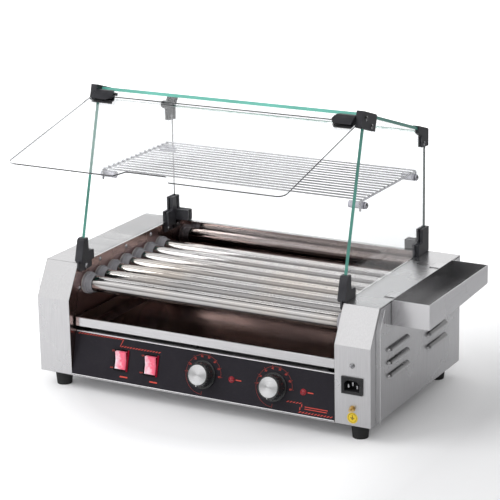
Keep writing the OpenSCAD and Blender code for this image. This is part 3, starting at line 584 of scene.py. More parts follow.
def lit_rocker(name, low, high, colour, strength):
    """Lit rocker cap: a painted highlight at the left and lower down, painted shade towards the right and on
    its right side, glowing in these same tones.
    """
    f = Finish(name)
    cloud = f.cloud(160.0, 3.0)
    across = f.ramp(f.place("X"), float(low[0]), float(high[0]))
    # The painted highlight grows towards the bottom, unevenly
    down = f.ramp(f.place("Z"), float(high[2]), float(low[2]), 0.0, 0.28)
    uneven = f.math("ADD", down, f.ramp(cloud, 0.35, 0.65, -0.2, 0.2))
    # Painted highlight: paler towards the left and lower down
    tone = f.tones(f.math("SUBTRACT", across, uneven), colour, (0.72, 0.62, 0.69), 0.5, -0.25)
    # Painted shade towards the right edge
    tone = f.blend(f.ramp(across, 0.78, 1.0, 0.0, 0.75), tone, shade(colour, 0.4))
    # Painted shade on the faces that look right
    tone = f.tones(f.facing("X"), tone, (0.16, 0.004, 0.012))
    f.set(Base_Color=tone, Emission_Color=tone, Emission_Strength=strength,
          Roughness=f.drift(cloud, 0.16, 0.3), Coat_Weight=0.5)
    f.bump(cloud, 0.2, 0.00005)
    return f


def lit_frame(name, colour, sides, glow):
    """Black moulded frame, tinted where the light of a rocker falls on its side."""
    f = moulded_plastic(name, colour, 0.3, 1500.0, shine=0.08)
    near = 0.0
    for side in sides:
        away = f.math("ABSOLUTE", f.math("SUBTRACT", f.place("X"), side))
        near = f.math("ADD", near, f.ramp(away, 0.0018, 0.0008))
    plain = f.shader.inputs["Base Color"].links[0].from_socket
    f.set(Base_Color=f.blend(near, plain, glow), Emission_Color=rgb(glow),
          Emission_Strength=f.times(near, 0.35))
    return f


def highlit_edge(name, colour):
    """Cut edge of a sheet, paler than the sheet as a painted highlight, a little rough and fine-grained."""
    f = Finish(name)
    fine = f.cloud(1100.0)
    # A lighter copy of the sheet's colour: painted highlight
    pale = shade(colour, 1.35)
    f.set(Base_Color=f.tones(fine, shade(pale, 0.9), pale), Roughness=f.drift(fine, 0.34, 0.5), Metallic=0.3)
    f.bump(fine, *FINE_BUMP)
    return f


def shaded_tray(name, colour, shade_tint, lip, inside):
    """Tray sheet: clean at its front lip, and further in a brown painted shade and painted reflection,
    streaked along the tray.
    """
    f = Finish(name)
    grain, cloud = f.shared("grain", Fineness=SHEET_GRAIN, Along=ALONG_X)
    runs, _ = f.shared("grain", Fineness=60.0, Along=(0.02, 1.0, 1.0))
    blotch, _ = f.shared("marks", Size=9.0)
    clean = f.tones(grain, shade(colour, 0.9), colour)
    # The brown streaks are painted shade and painted reflection
    shaded = f.tones(runs, shade(shade_tint, 0.8), shade(shade_tint, 1.3), 0.38, 0.66)
    # The film mask places the painted shade and reflection: it grows from the lip inwards, thins at random
    # and skips faces that look downwards
    film = f.times(f.ramp(f.place("Y"), lip, inside, 0.0, 0.94), f.ramp(blotch, 0.0, 1.0, 1.0, 0.82))
    film = f.times(film, f.ramp(f.facing("Z"), -0.6, -0.4))
    f.set(Base_Color=f.blend(film, clean, shaded), Roughness=f.drift(cloud, 0.12, 0.22), Metallic=1.0)
    f.bump(grain, *SHEET_BUMP)
    return f


def thin_sheet(name, tint):
    """Thin clear acrylic: see-through, with a soft mirror at a low angle and faint wiping marks."""
    f = Finish(name)
    wipes, _ = f.shared("grain", Fineness=24.0, Along=WIPED)
    f.set(Base_Color=rgb((0.9, 0.9, 0.9)), Roughness=f.ramp(wipes, 0.5, 0.8, 0.02, 0.08), Metallic=1.0)
    through = f.add("BsdfTransparent", Color=rgb(tint))
    mirror = f.ramp(f.add("LayerWeight", Blend=0.18).outputs["Fresnel"], 0.0, 1.0, 0.0, 0.3)
    f.surface(f.add("MixShader", i0=mirror, i1=through, i2=f.shader))
    return f


def clear_sheet(name, colour):
    """Clear pane that lets lamps through, with a little dust and faint wiping marks."""
    f = Finish(name)
    wipes, _ = f.shared("grain", Fineness=24.0, Along=WIPED)
    f.set(Base_Color=rgb(colour), Roughness=f.ramp(wipes, 0.55, 0.8, 0.0, 0.05), Transmission_Weight=1.0,
          IOR=1.5)
    through = f.add("BsdfTransparent", Color=rgb([c ** 0.5 for c in colour]))
    shadow = f.add("LightPath").outputs["Is Shadow Ray"]
    f.surface(f.add("MixShader", i0=shadow, i1=f.shader, i2=through))
    return f


def edge_glass(name, colour, inner, glow=0.12):
    """Ground edge of a pane: the green that builds up through the sheet, with bright and dark streaks and a
    painted glow.
    """
    f = Finish(name)
    streaks = f.cloud(16.0, 3.0)
    f.set(Base_Color=f.tones(streaks, colour, inner, 0.35, 0.65),
          Roughness=f.drift(streaks, 0.12, 0.24),
          # The emission is a painted glow: light gathered in the pane shows at its edge
          Emission_Color=rgb(inner), Emission_Strength=glow, Coat_Weight=0.7)
    return f


def milky_plastic(name):
    """Milky clear plastic of the shelf's posts."""
    f = Finish(name)
    cloud = f.cloud(120.0, 3.0)
    f.set(Base_Color=f.tones(cloud, (0.5, 0.49, 0.56), (0.62, 0.61, 0.68)),
          Roughness=f.drift(cloud, 0.2, 0.32), Transmission_Weight=0.12, Coat_Weight=0.4)
    return f


def spun_metal(name, colour):
    """Spun disc: concentric turning rings, with fans of light along the tangent."""
    f = Finish(name)
    outward = f.part(f.add("UVMap"), "Y")
    rings = f.add("TexNoise", {"noise_dimensions": "1D"}, W=f.times(outward, 260.0), Detail=2.0)
    f.set(Base_Color=f.tones(rings, shade(colour, 0.9), colour),
          Roughness=f.drift(rings, 0.32, 0.42),
          Metallic=1.0, Anisotropic=0.92, Anisotropic_Rotation=0.25,
          Tangent=f.add("Tangent", {"direction_type": "UV_MAP"}))
    f.bump(rings, 0.12, 0.00002)
    return f


# ---- Settings ----

COLOUR = {"subtype": "COLOR", "size": 3, "min": 0.0, "max": 1.0}
LENGTH = {"subtype": "DISTANCE", "unit": "LENGTH"}


class GrillMetalSettings(bpy.types.PropertyGroup):
    """Colours and edges of the steel parts."""

    sheet: FloatVectorProperty(
        name="Sheet", description="Colour of the brushed stainless sheet",
        default=(0.72, 0.715, 0.725), **COLOUR)
    bright: FloatVectorProperty(
        name="Bright sheet", description="Colour of the mirror-like back wall",
        default=(0.42, 0.385, 0.38), **COLOUR)
    roller: FloatVectorProperty(
        name="Rollers", description="Colour of the polished rollers", default=(0.57, 0.555, 0.55), **COLOUR)
    fold: FloatProperty(
        name="Fold", description="Radius of a folded sheet's outer edge",
        min=0.0, max=0.002, default=0.0007, **LENGTH)


class GrillPlasticSettings(bpy.types.PropertyGroup):
    """Colours of the moulded parts."""

    clamp: FloatVectorProperty(
        name="Clamps", description="Colour of the hood's clamps and clips",
        default=(0.026, 0.026, 0.03), **COLOUR)
    knob: FloatVectorProperty(
        name="Knobs", description="Colour of the knobs", default=(0.012, 0.012, 0.013), **COLOUR)
    collar: FloatVectorProperty(
        name="Collars", description="Colour of the rollers' end collars",
        default=(0.26, 0.255, 0.275), **COLOUR)
    rocker: FloatVectorProperty(
        name="Rockers", description="Colour of the lit rockers", default=(0.72, 0.11, 0.18), **COLOUR)


class GrillGlassSettings(bpy.types.PropertyGroup):
    """Tint and edges of the hood."""

    tint: FloatVectorProperty(
        name="Tint", description="Colour of light through one pane",
        default=(0.955, 0.963, 0.966), **COLOUR)
    edge: FloatVectorProperty(
        name="Edge", description="Colour of a pane's ground edge", default=(0.045, 0.16, 0.13), **COLOUR)
    door_line: FloatProperty(
        name="Door line", description="Width of the dark line in the door's sawn edge",
        min=0.0003, max=0.0025, default=0.0019, **LENGTH)
    strip: FloatProperty(
        name="Strip", description="How far the edge's colour stands off the glass",
        min=0.00002, max=0.0005, default=0.00008, **LENGTH)


class GrillPanelSettings(bpy.types.PropertyGroup):
    """The printed marks on the control panel."""

    mark: FloatVectorProperty(
        name="Marks", description="Colour of the printed marks", default=(0.72, 0.075, 0.05), **COLOUR)
    dial_radius: FloatProperty(
        name="Dial radius", description="Radius of the printed arc round a knob",
        min=0.026, max=0.034, default=0.0305, **LENGTH)
    dial_steps: IntProperty(
        name="Dial steps", description="Number of numbered marks on a dial", min=5, max=12, default=8)
    ink_height: FloatProperty(
        name="Ink height", description="Height of the ink over the facing",
        min=0.00003, max=0.0003, default=0.00012, **LENGTH)


class GrillStageSettings(bpy.types.PropertyGroup):
    """Floor, lamps and camera."""

    floor: FloatVectorProperty(
        name="Floor", description="Colour of the floor", default=(0.86, 0.86, 0.87), **COLOUR)
    lens: FloatProperty(
        name="Lens", description="Focal length on a 36 mm sensor, in millimetres",
        min=35.0, max=300.0, default=144.27)
    azimuth: FloatProperty(
        name="Azimuth", description="Turn of the camera round the grill, in degrees", default=29.09)
    elevation: FloatProperty(
        name="Elevation", description="Height of the camera's line of sight, in degrees", default=16.68)
    roll: FloatProperty(name="Roll", description="Roll of the camera, in degrees", default=-1.11)
    place: FloatVectorProperty(
        name="Camera", description="Place of the camera", subtype="XYZ", unit="LENGTH", size=3,
        default=(1.46375, -2.62395, 1.1165))


SETTINGS = {"grill_metal": GrillMetalSettings, "grill_plastic": GrillPlasticSettings,
            "grill_glass": GrillGlassSettings, "grill_panel": GrillPanelSettings,
            "grill_stage": GrillStageSettings}


# ---- Operators ----

# Axes of upright outlines, and of outlines on the leaning panel just clear of its face
UPRIGHT = ((1.0, 0.0, 0.0), (0.0, 0.0, 1.0))
INK_GAP = 0.00002
ON_FACING = (on_panel(0.0, 0.0, INK_GAP), (1.0, 0.0, 0.0), PANEL_UP)
# Rounding of the edges of moulded parts
CONTROL_EDGE, COLLAR_EDGE, CLAMP_EDGE = 0.0005, 0.0006, 0.0009


class GRILL_OT_body(bpy.types.Operator):
    """Finishes the folded steel body, its covers and the trays."""

    bl_idname = "grill.body"
    bl_label = "Finish the body"

    def execute(self, context):
        s = context.scene.grill_metal
        # The inner walls' brownish tone is partly heat tint and partly a painted reflection of the sausages
        inner = [c * f for c, f in zip(s.sheet, (0.86, 0.62, 0.57))]
        film = float(node_box("drip_tray")[0][1]) + 0.008    # where the tray's painted shade and painted reflection begin
        thin = 0.4                                           # how much sharper thin sheet folds
        for names, finish in (
                (["left_housing", "right_housing", "heater_brackets"],
                 sheet_steel("satin_sheet", s.sheet, ALONG_Z, 0.3)),
                # The side covers get painted shade on their up-facing faces
                (["left_side_cover", "right_side_cover"],
                 sheet_steel("louvred_sheet", s.sheet, ALONG_Z, 0.28, lid_shade=0.8)),
                (["left_inner_wall", "right_inner_wall"], sheet_steel("inner_sheet", inner, ALONG_Y, 0.26)),
                (["base_pan", "control_panel", "tray_deck"],
                 sheet_steel("satin_sheet_across", s.sheet, ALONG_X, 0.28)),
                (["back_wall"], bright_sheet("bright_sheet", s.bright, s.sheet)),
                # The drip tray gets painted shade and painted reflection further in
                (["drip_tray"],
                 shaded_tray("tray_sheet", s.sheet, (0.46, 0.33, 0.295), film, film + 0.022)),
                # The utensil tray's painted shade reaches far and deep into its hollows
                (["utensil_tray"], sheet_steel("side_tray_sheet", shade(s.sheet, 1.16), ALONG_Y, 0.26,
                                               reach=0.09, hollow_shade=0.8)),
                (["body_screws", "hood_screws"],
                 worn_metal("screw_metal", (0.5, 0.5, 0.52), 0.18, (0.2, 0.2, 0.2))),
                (["rubber_feet"], moulded_plastic("foot_rubber", (0.012, 0.012, 0.012), 0.62, 900.0))):
            dress(names, finish)
        for name in ("left_housing", "right_housing", "back_wall", "control_panel"):
            soften(name, s.fold)
        for name in ("utensil_tray", "drip_tray", "left_side_cover", "right_side_cover"):
            soften(name, s.fold * thin)
        self.cover_edges(highlit_edge("cover_edge", s.sheet))
        return {"FINISHED"}

    def cover_edges(self, finish):
        """The cut edge along the front and the shoulder of each side cover, made bright by a painted
        highlight.
        """
        near, width, off = 0.0002, 0.0012, 0.0002
        for side, sign in (("left", -1.0), ("right", 1.0)):
            low, high = node_box(side + "_side_cover")
            y, z = corners_of(side + "_side_cover")[:, 1:].T
            foot = np.array([low[1], low[2]])
            shoulder = np.array([low[1], z[y < low[1] + near].max()])
            top = np.array([y[z > high[2] - near].min(), high[2]])
            x = high[0] if sign > 0 else low[0]
            runs = []
            for a, b in ((foot, shoulder), (shoulder, top)):
                along = (b - a) / np.linalg.norm(b - a)
                across = np.array([along[1], -along[0]]) * width
                shift = across / 2
                runs.append(([x, *(a + shift)], [x, *(b + shift)], [0.0, *across], [sign, 0.0, 0.0]))
            edge_strips(side + "_cover_edge", runs, "root", finish, off)


class GRILL_OT_rollers(bpy.types.Operator):
    """Finishes the rollers, their collars and bushes, and the heaters inside them."""

    bl_idname = "grill.rollers"
    bl_label = "Finish the rollers"

    def execute(self, context):
        dress(ROLLERS, roller_steel("roller_tube", context.scene.grill_metal.roller))
        collar = moulded_plastic("collar_rubber", context.scene.grill_plastic.collar, 0.5, 700.0, 0.00006)
        collars = [name + "_collars" for name in ROLLERS]
        dress(collars, collar)
        for name in collars:
            soften(name, COLLAR_EDGE)
        dress(["roller_bushes"], moulded_plastic("bush_plastic", (0.42, 0.42, 0.42), 0.4, 900.0))
        dress(["heater_rods"], worn_metal("heater_sheath", (0.3, 0.27, 0.25), 0.45, (0.12, 0.1, 0.09)))
        return {"FINISHED"}


class GRILL_OT_drive(bpy.types.Operator):
    """Finishes the motor, chain, thermostats, inlet and earth stud."""

    bl_idname = "grill.drive"
    bl_label = "Finish the drive and electrics"

    def execute(self, context):
        for node, name, colour, roughness, dirt in (
                ("drive_motor", "motor_casting", (0.34, 0.35, 0.36), 0.5, (0.2, 0.2, 0.2)),
                ("drive_chain", "chain_steel", (0.22, 0.21, 0.2), 0.34, (0.08, 0.07, 0.06)),
                ("motor_sprocket", "sprocket_steel", (0.5, 0.5, 0.5), 0.36, (0.2, 0.19, 0.18)),
                ("thermostats", "thermostat_case", (0.6, 0.6, 0.61), 0.36, (0.4, 0.4, 0.4)),
                ("earth_stud", "turned_brass", (0.8, 0.58, 0.26), 0.3, (0.5, 0.34, 0.14))):
            dress([node], worn_metal(name, colour, roughness, dirt))
        dress(["power_inlet"], moulded_plastic("inlet_plastic", (0.014, 0.014, 0.015), 0.34, 1500.0))
        soften("power_inlet", COLLAR_EDGE)
        self.blades()
        return {"FINISHED"}

    def blades(self):
        """Bright sleeves over the three blades of the power inlet."""
        low, high = node_box("power_inlet")
        x, z = (low[0] + high[0]) / 2, (low[2] + high[2]) / 2
        w, h, cut = 0.00112, 0.00262, 0.0006
        foot, length = low[1] + 0.0044, 0.012
        outline = [(-w, -h + cut), (-w + cut, -h), (w - cut, -h), (w, -h + cut),
                   (w, h - cut), (w - cut, h), (-w + cut, h), (-w, h - cut)]
        parts = [prism(outline, ((x + dx, foot, z + dz), *UPRIGHT), -length)
                 for dx, dz in ((-0.007, -0.002), (0.0, 0.002), (0.007, -0.002))]
        metal = worn_metal("blade_metal", (0.5, 0.5, 0.51), 0.25, (0.3, 0.3, 0.3))
        new_piece("inlet_blades", join(parts), "root", metal)


class GRILL_OT_hood_fittings(bpy.types.Operator):
    """Finishes the black clamps, clips and door hinges."""

    bl_idname = "grill.hood_fittings"
    bl_label = "Finish the hood's fittings"

    def execute(self, context):
        names = ["front_clamps", "back_clamps", "front_clips", "back_clips", "door_hinges"]
        dress(names, moulded_plastic("clamp_plastic", context.scene.grill_plastic.clamp, 0.4, 1500.0))
        for name in names:
            soften(name, CLAMP_EDGE)
        return {"FINISHED"}


class GRILL_OT_glass(bpy.types.Operator):
    """Finishes the hood's panes and adds the green of their ground edges."""

    bl_idname = "grill.glass"
    bl_label = "Finish the glass hood"

    def execute(self, context):
        s = context.scene.grill_glass
        panes = ["left_glass", "right_glass", "back_glass", "top_glass"]
        dress(panes, clear_sheet("hood_glass", s.tint))
        green = edge_glass("glass_edge", s.edge, shade(s.edge, 1.5))
        grey = edge_glass("rear_glass_edge", (0.07, 0.09, 0.09), (0.16, 0.19, 0.19), 0.05)
        # The top pane's edge: a lighter copy of the green with more glow, painted light
        lit = edge_glass("lit_glass_edge", shade(s.edge, 2.2), (0.13, 0.46, 0.38), 0.25)
        for name in panes:
            low, high = node_box(name)
            rear_face = high[1] - 0.003
            outline = side_outline(name)
            if name in ("left_glass", "right_glass"):
                runs = outline_runs(outline, low[0], high[0])
                behind = [min(start[1], end[1]) > rear_face for start, end, *_ in runs]
                rear = [run for run, back in zip(runs, behind) if back]
                runs = [run for run, back in zip(runs, behind) if not back]
                edge_strips(name + "_rear_edge", rear, "root", grey, s.strip)
            else:
                runs = outline_runs(outline, low[0], high[0], longest=PANE_END)
                edge_strips(name + "_end_edges", end_runs(outline, low[0], high[0]), "root",
                            grey if name == "back_glass" else green, s.strip)
            edge_strips(name + "_edge", runs, "root",
                        lit if name == "top_glass" else green, s.strip)
        return {"FINISHED"}


class GRILL_OT_door(bpy.types.Operator):
    """Finishes the clear front door."""

    bl_idname = "grill.door"
    bl_label = "Finish the door"

    def execute(self, context):
        width, off = context.scene.grill_glass.door_line, 0.00006
        dress(["door_panel"], thin_sheet("door_acrylic", (0.972, 0.975, 0.978)))
        loop, normal = face_loop("door_panel")
        thickness = float((np.dot(loop[0], normal) - corners_of("door_panel") @ normal).max())
        loop = loop - normal * thickness / 2
        dark_runs, lit_runs = [], []
        # Edges near the door's left end get the pale finish: a painted highlight
        left_end = loop[:, 0].min() + 0.04
        for a, b in zip(loop, np.roll(loop, -1, axis=0)):
            along = (b - a) / np.linalg.norm(b - a)
            run = (a, b, normal * width, np.cross(along, normal))
            (lit_runs if max(a[0], b[0]) < left_end else dark_runs).append(run)
        dark = moulded_plastic("sawn_edge", (0.035, 0.036, 0.038), 0.4, 800.0)
        # The pale finish is a painted highlight
        pale = moulded_plastic("highlit_door_edge", (0.4, 0.41, 0.42), 0.3, 800.0)
        edge_strips("door_edge", dark_runs, "door", dark, off)
        edge_strips("door_lit_edge", lit_runs, "door", pale, off)
        return {"FINISHED"}


class GRILL_OT_shelf(bpy.types.Operator):
    """Finishes the wire shelf and its posts."""

    bl_idname = "grill.shelf"
    bl_label = "Finish the shelf"

    def execute(self, context):
        dress(["shelf_rack"], worn_metal("plated_wire", (0.36, 0.36, 0.38), 0.22, (0.24, 0.24, 0.26)))
        dress(["shelf_posts"], milky_plastic("milky_post"))
        return {"FINISHED"}


class GRILL_OT_controls(bpy.types.Operator):
    """Finishes the facing, switches, lamps and knobs, and spins the knobs' faces."""

    bl_idname = "grill.controls"
    bl_label = "Finish the controls"

    def execute(self, context):
        s = context.scene.grill_plastic
        dress(["panel_facing"], black_facing("panel_film"))
        lit_sides = []
        for which in ("left", "right"):
            low, high = node_box(which + "_rocker")
            lit_sides.append(float(high[0]) + 0.0012)
            dress([which + "_rocker"], lit_rocker(which + "_lit_rocker", low, high, s.rocker, 0.3))
        dress(["switch_frames"],
              lit_frame("switch_plastic", (0.006, 0.006, 0.0065), lit_sides, (0.2, 0.004, 0.016)))
        dress(["indicator_lamps"], lit_lens("lamp_lens", (0.22, 0.004, 0.012), (0.5, 0.01, 0.03), 0.05))
        self.margins(context.scene.grill_metal.sheet)
        knob = moulded_plastic("knob_plastic", s.knob, 0.22, 1200.0, 0.000004, coat=1.0, shine=0.6)
        dress(["front_knob", "rear_knob"], knob)
        spun = spun_metal("spun_face", (0.97, 0.97, 0.98))
        white = ink("pointer_white", (0.85, 0.85, 0.84))
        for which in ("front", "rear"):
            low, high = node_box(which + "_knob_face")
            self.spin_face(which, (low + high) / 2, (high[0] - low[0]) / 2, spun)
            self.pointer(which, (low + high) / 2, (high[0] - low[0]) / 2, white)
        for name in ("front_knob", "rear_knob", "switch_frames", "left_rocker", "right_rocker"):
            soften(name, CONTROL_EDGE)
        return {"FINISHED"}

    def margins(self, colour):
        """The bare steel beads along the facing's upper and lower edges, paler than the sheet as a painted
        highlight.
        """
        left, right = FACING_LOW[0] + 0.001, FACING_HIGH[0] - 0.001
        plane = (on_panel(0.0, 0.0, 0.00003), *ON_FACING[1:])
        width, height = 0.0011, 0.0004
        beads = [prism(bar((left, up), (right, up), width), plane, height)
                 for up in (0.0007, up_panel(FACING_HIGH) - 0.0009)]
        new_piece("panel_margins", join(beads), "root", highlit_edge("margin_edge", colour))

    def spin_face(self, which, centre, radius, finish):
        """A dished disc with a bright chamfer: a lathed profile in place of the plain face."""
        half, steps = 0.0006, 96
        r = np.array([0.0, 0.02, 0.2, 0.4, 0.6, 0.8, 0.9, 0.955, 1.0, 1.0, 0.97, 0.0]) * radius
        h = np.array([0.8, 0.8, 0.8, 0.82, 0.84, 0.88, 0.92, 0.98, 0.62, -1.0, -1.0, -1.0]) * half
        disc = lathe(np.stack([r, h], axis=-1), centre, PANEL_OUT, steps)
        piece = new_piece(which + "_spun_face", disc, which + "_knob_body", finish,
                          smooth=True)
        point = np.empty(len(piece.data.loops), int)
        piece.data.loops.foreach_get("vertex_index", point)
        turn = (point % steps / steps).reshape(-1, 4)
        # The last quad of each ring runs on to a full turn
        turn[(turn.max(axis=1) > 0.9)[:, None] & (turn < 0.1)] += 1.0
        outward = (point // steps) / len(r)
        uv = piece.data.uv_layers.new(name="spin")
        uv.data.foreach_set("uv", np.stack([turn.reshape(-1), outward], axis=-1).ravel())
        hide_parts(which + "_knob_face")

    def pointer(self, which, centre, radius, finish):
        """The small white mark on a knob's shoulder."""
        spot = centre - PANEL_UP * (radius + 0.0011) - PANEL_OUT * 0.0002
        r = np.array([0.0, 0.7, 0.8, 0.8, 0.0]) * MM
        h = np.array([0.9, 0.9, 0.8, -0.4, -0.4]) * MM
        dot = lathe(np.stack([r, h], axis=-1), spot, PANEL_OUT, 24)
        new_piece(which + "_knob_pointer", dot, which + "_knob_body", finish, smooth=True)


class GRILL_OT_marks(bpy.types.Operator):
    """Prints the dials, the switch words and the plain red stripes on the panel."""

    bl_idname = "grill.marks"
    bl_label = "Print the panel's marks"

    def execute(self, context):
        s = context.scene.grill_panel
        self.height = s.ink_height
        self.red = ink("print_red", s.mark)
        self.dim = ink("print_dim_red", shade(s.mark, 0.5))
        lamps = []
        for which in ("front", "rear"):
            x, up = middle(which + "_knob")[0], up_panel(middle(which + "_knob_face"))
            self.dial(which, x, up, s.dial_radius, s.dial_steps)
            lamps.append(bar((x + 0.0565, up), (x + 0.066, up), 0.0016))
        self.print_outlines("lamp_bars", lamps, self.red)
        for which in ("left", "right"):
            self.switch_words(which)
        left, right = FACING_LOW[0] + 0.003, FACING_HIGH[0] - 0.003
        self.print_outlines("title_stripes", [
            *hatch((left, 0.0666), (-0.144, 0.0676), 0.0024),
            bar((-0.1428, 0.0688), (-0.1482, 0.0556), 0.0009),
            *hatch((-0.148, 0.0562), (-0.073, 0.0566), 0.0022)], self.red)
        self.print_outlines("corner_stripes", [
            *hatch((0.148, 0.0172), (0.176, 0.0178), 0.0022),
            *hatch((0.1772, 0.0178), (0.1702, 0.0052), 0.0024),
            *hatch((0.1695, 0.0046), (right, 0.005), 0.0024),
            bar((0.1805, 0.0134), (0.2185, 0.0134), 0.0011),
            bar((0.1805, 0.0103), (0.2175, 0.0103), 0.0011)], self.red)
        return {"FINISHED"}

    def print_outlines(self, name, outlines, finish):
        """Raises flat outlines, given in metres across and up the panel, by the height of the ink."""
        shape = join([prism(outline, ON_FACING, self.height) for outline in outlines])
        new_piece(name, shape, "root", finish)

    def print_word(self, name, word, size, x, up):
        """A word or number as a raised mesh, centred on a point of the panel."""
        curve = bpy.data.curves.new(name, "FONT")
        curve.body = word
        curve.size = size
        curve.align_x = "CENTER"
        curve.align_y = "CENTER"
        curve.extrude = self.height / 2
        curve.resolution_u = 3
        holder = bpy.data.objects.new(name + "_curve", curve)
        mesh = bpy.data.meshes.new_from_object(holder)
        bpy.data.objects.remove(holder)
        turn = Matrix((Vector((1, 0, 0)), Vector(PANEL_UP), Vector(PANEL_OUT))).transposed().to_4x4()
        mesh.transform(Matrix.Translation(on_panel(x, up, INK_GAP + self.height / 2)) @ turn)
        show(bpy.data.objects.new(name, mesh), "root", self.red)

    def dial(self, which, x, up, radius, steps):
        """A thin ring from the right over the top and round to the bottom, with ticks and plain numbers."""
        ring, tick, text = 0.0004, 0.0005, 0.0042
        foot, head, inset = radius + 0.0008, radius + 0.0026, radius - 0.0028
        centre = np.array([x, up])
        self.print_outlines(which + "_ring", [
            band(arc(radius, 0, 270, 120) + centre, ring),
            bar((x, up - radius + 0.0045), (x, up - foot), tick)], self.dim)
        ways = arc(1.0, 178.0, 0.0, steps)
        ticks = [bar(centre + way * foot, centre + way * head, tick) for way in ways]
        self.print_outlines(which + "_dial", ticks, self.dim)
        for number, way in enumerate(ways, start=1):
            self.print_word(f"{which}_number_{number}", str(10 * number), text, *(centre + way * inset))

    def switch_words(self, which):
        """ON and OFF beside a switch, and a short plain bar under it."""
        spot, text = middle(which + "_rocker"), 0.0034
        x, up = spot[0], up_panel(spot)
        self.print_word(which + "_on", "ON", text, x - 0.0158, up + 0.0125)
        self.print_word(which + "_off", "OFF", text, x - 0.0164, up - 0.0142)
        under = bar((x, up - 0.0258), (x + 0.0138, up - 0.0258), 0.0021)
        self.print_outlines(which + "_switch_bar", [under], self.red)


class GRILL_OT_earth_tag(bpy.types.Operator):
    """Adds the round yellow earth tag below the inlet."""

    bl_idname = "grill.earth_tag"
    bl_label = "Make the earth tag"

    def execute(self, context):
        radius, thickness, drop = 0.0085, 0.00035, 0.0145
        ring, stroke, height = 0.0066, 0.0008, 0.00012
        stud = middle("earth_stud")
        centre = np.array([stud[0], node_box("right_housing")[0][1], stud[2] - drop])
        disc = prism(arc(radius, 0, 360, 65)[:-1], (centre, *UPRIGHT), thickness)
        new_piece("earth_tag", disc, "root", ink("tag_yellow", (0.93, 0.66, 0.03)))
        marks = [bar((0.0, 0.0046), (0.0, 0.0002), stroke)]
        for i, half in enumerate((0.0034, 0.0022, 0.001)):
            y = 0.0002 - i * 0.0014
            marks.append(bar((-half, y), (half, y), stroke))
        marks += [band(arc(ring, a, a + 92, 24), 0.0005) for a in (0, 90, 180, 270)]
        face = centre - np.array([0.0, thickness + 0.00001, 0.0])
        sign = join([prism(outline, (face, *UPRIGHT), height) for outline in marks])
        new_piece("earth_sign", sign, "root", ink("tag_black", (0.02, 0.02, 0.02)))
        return {"FINISHED"}


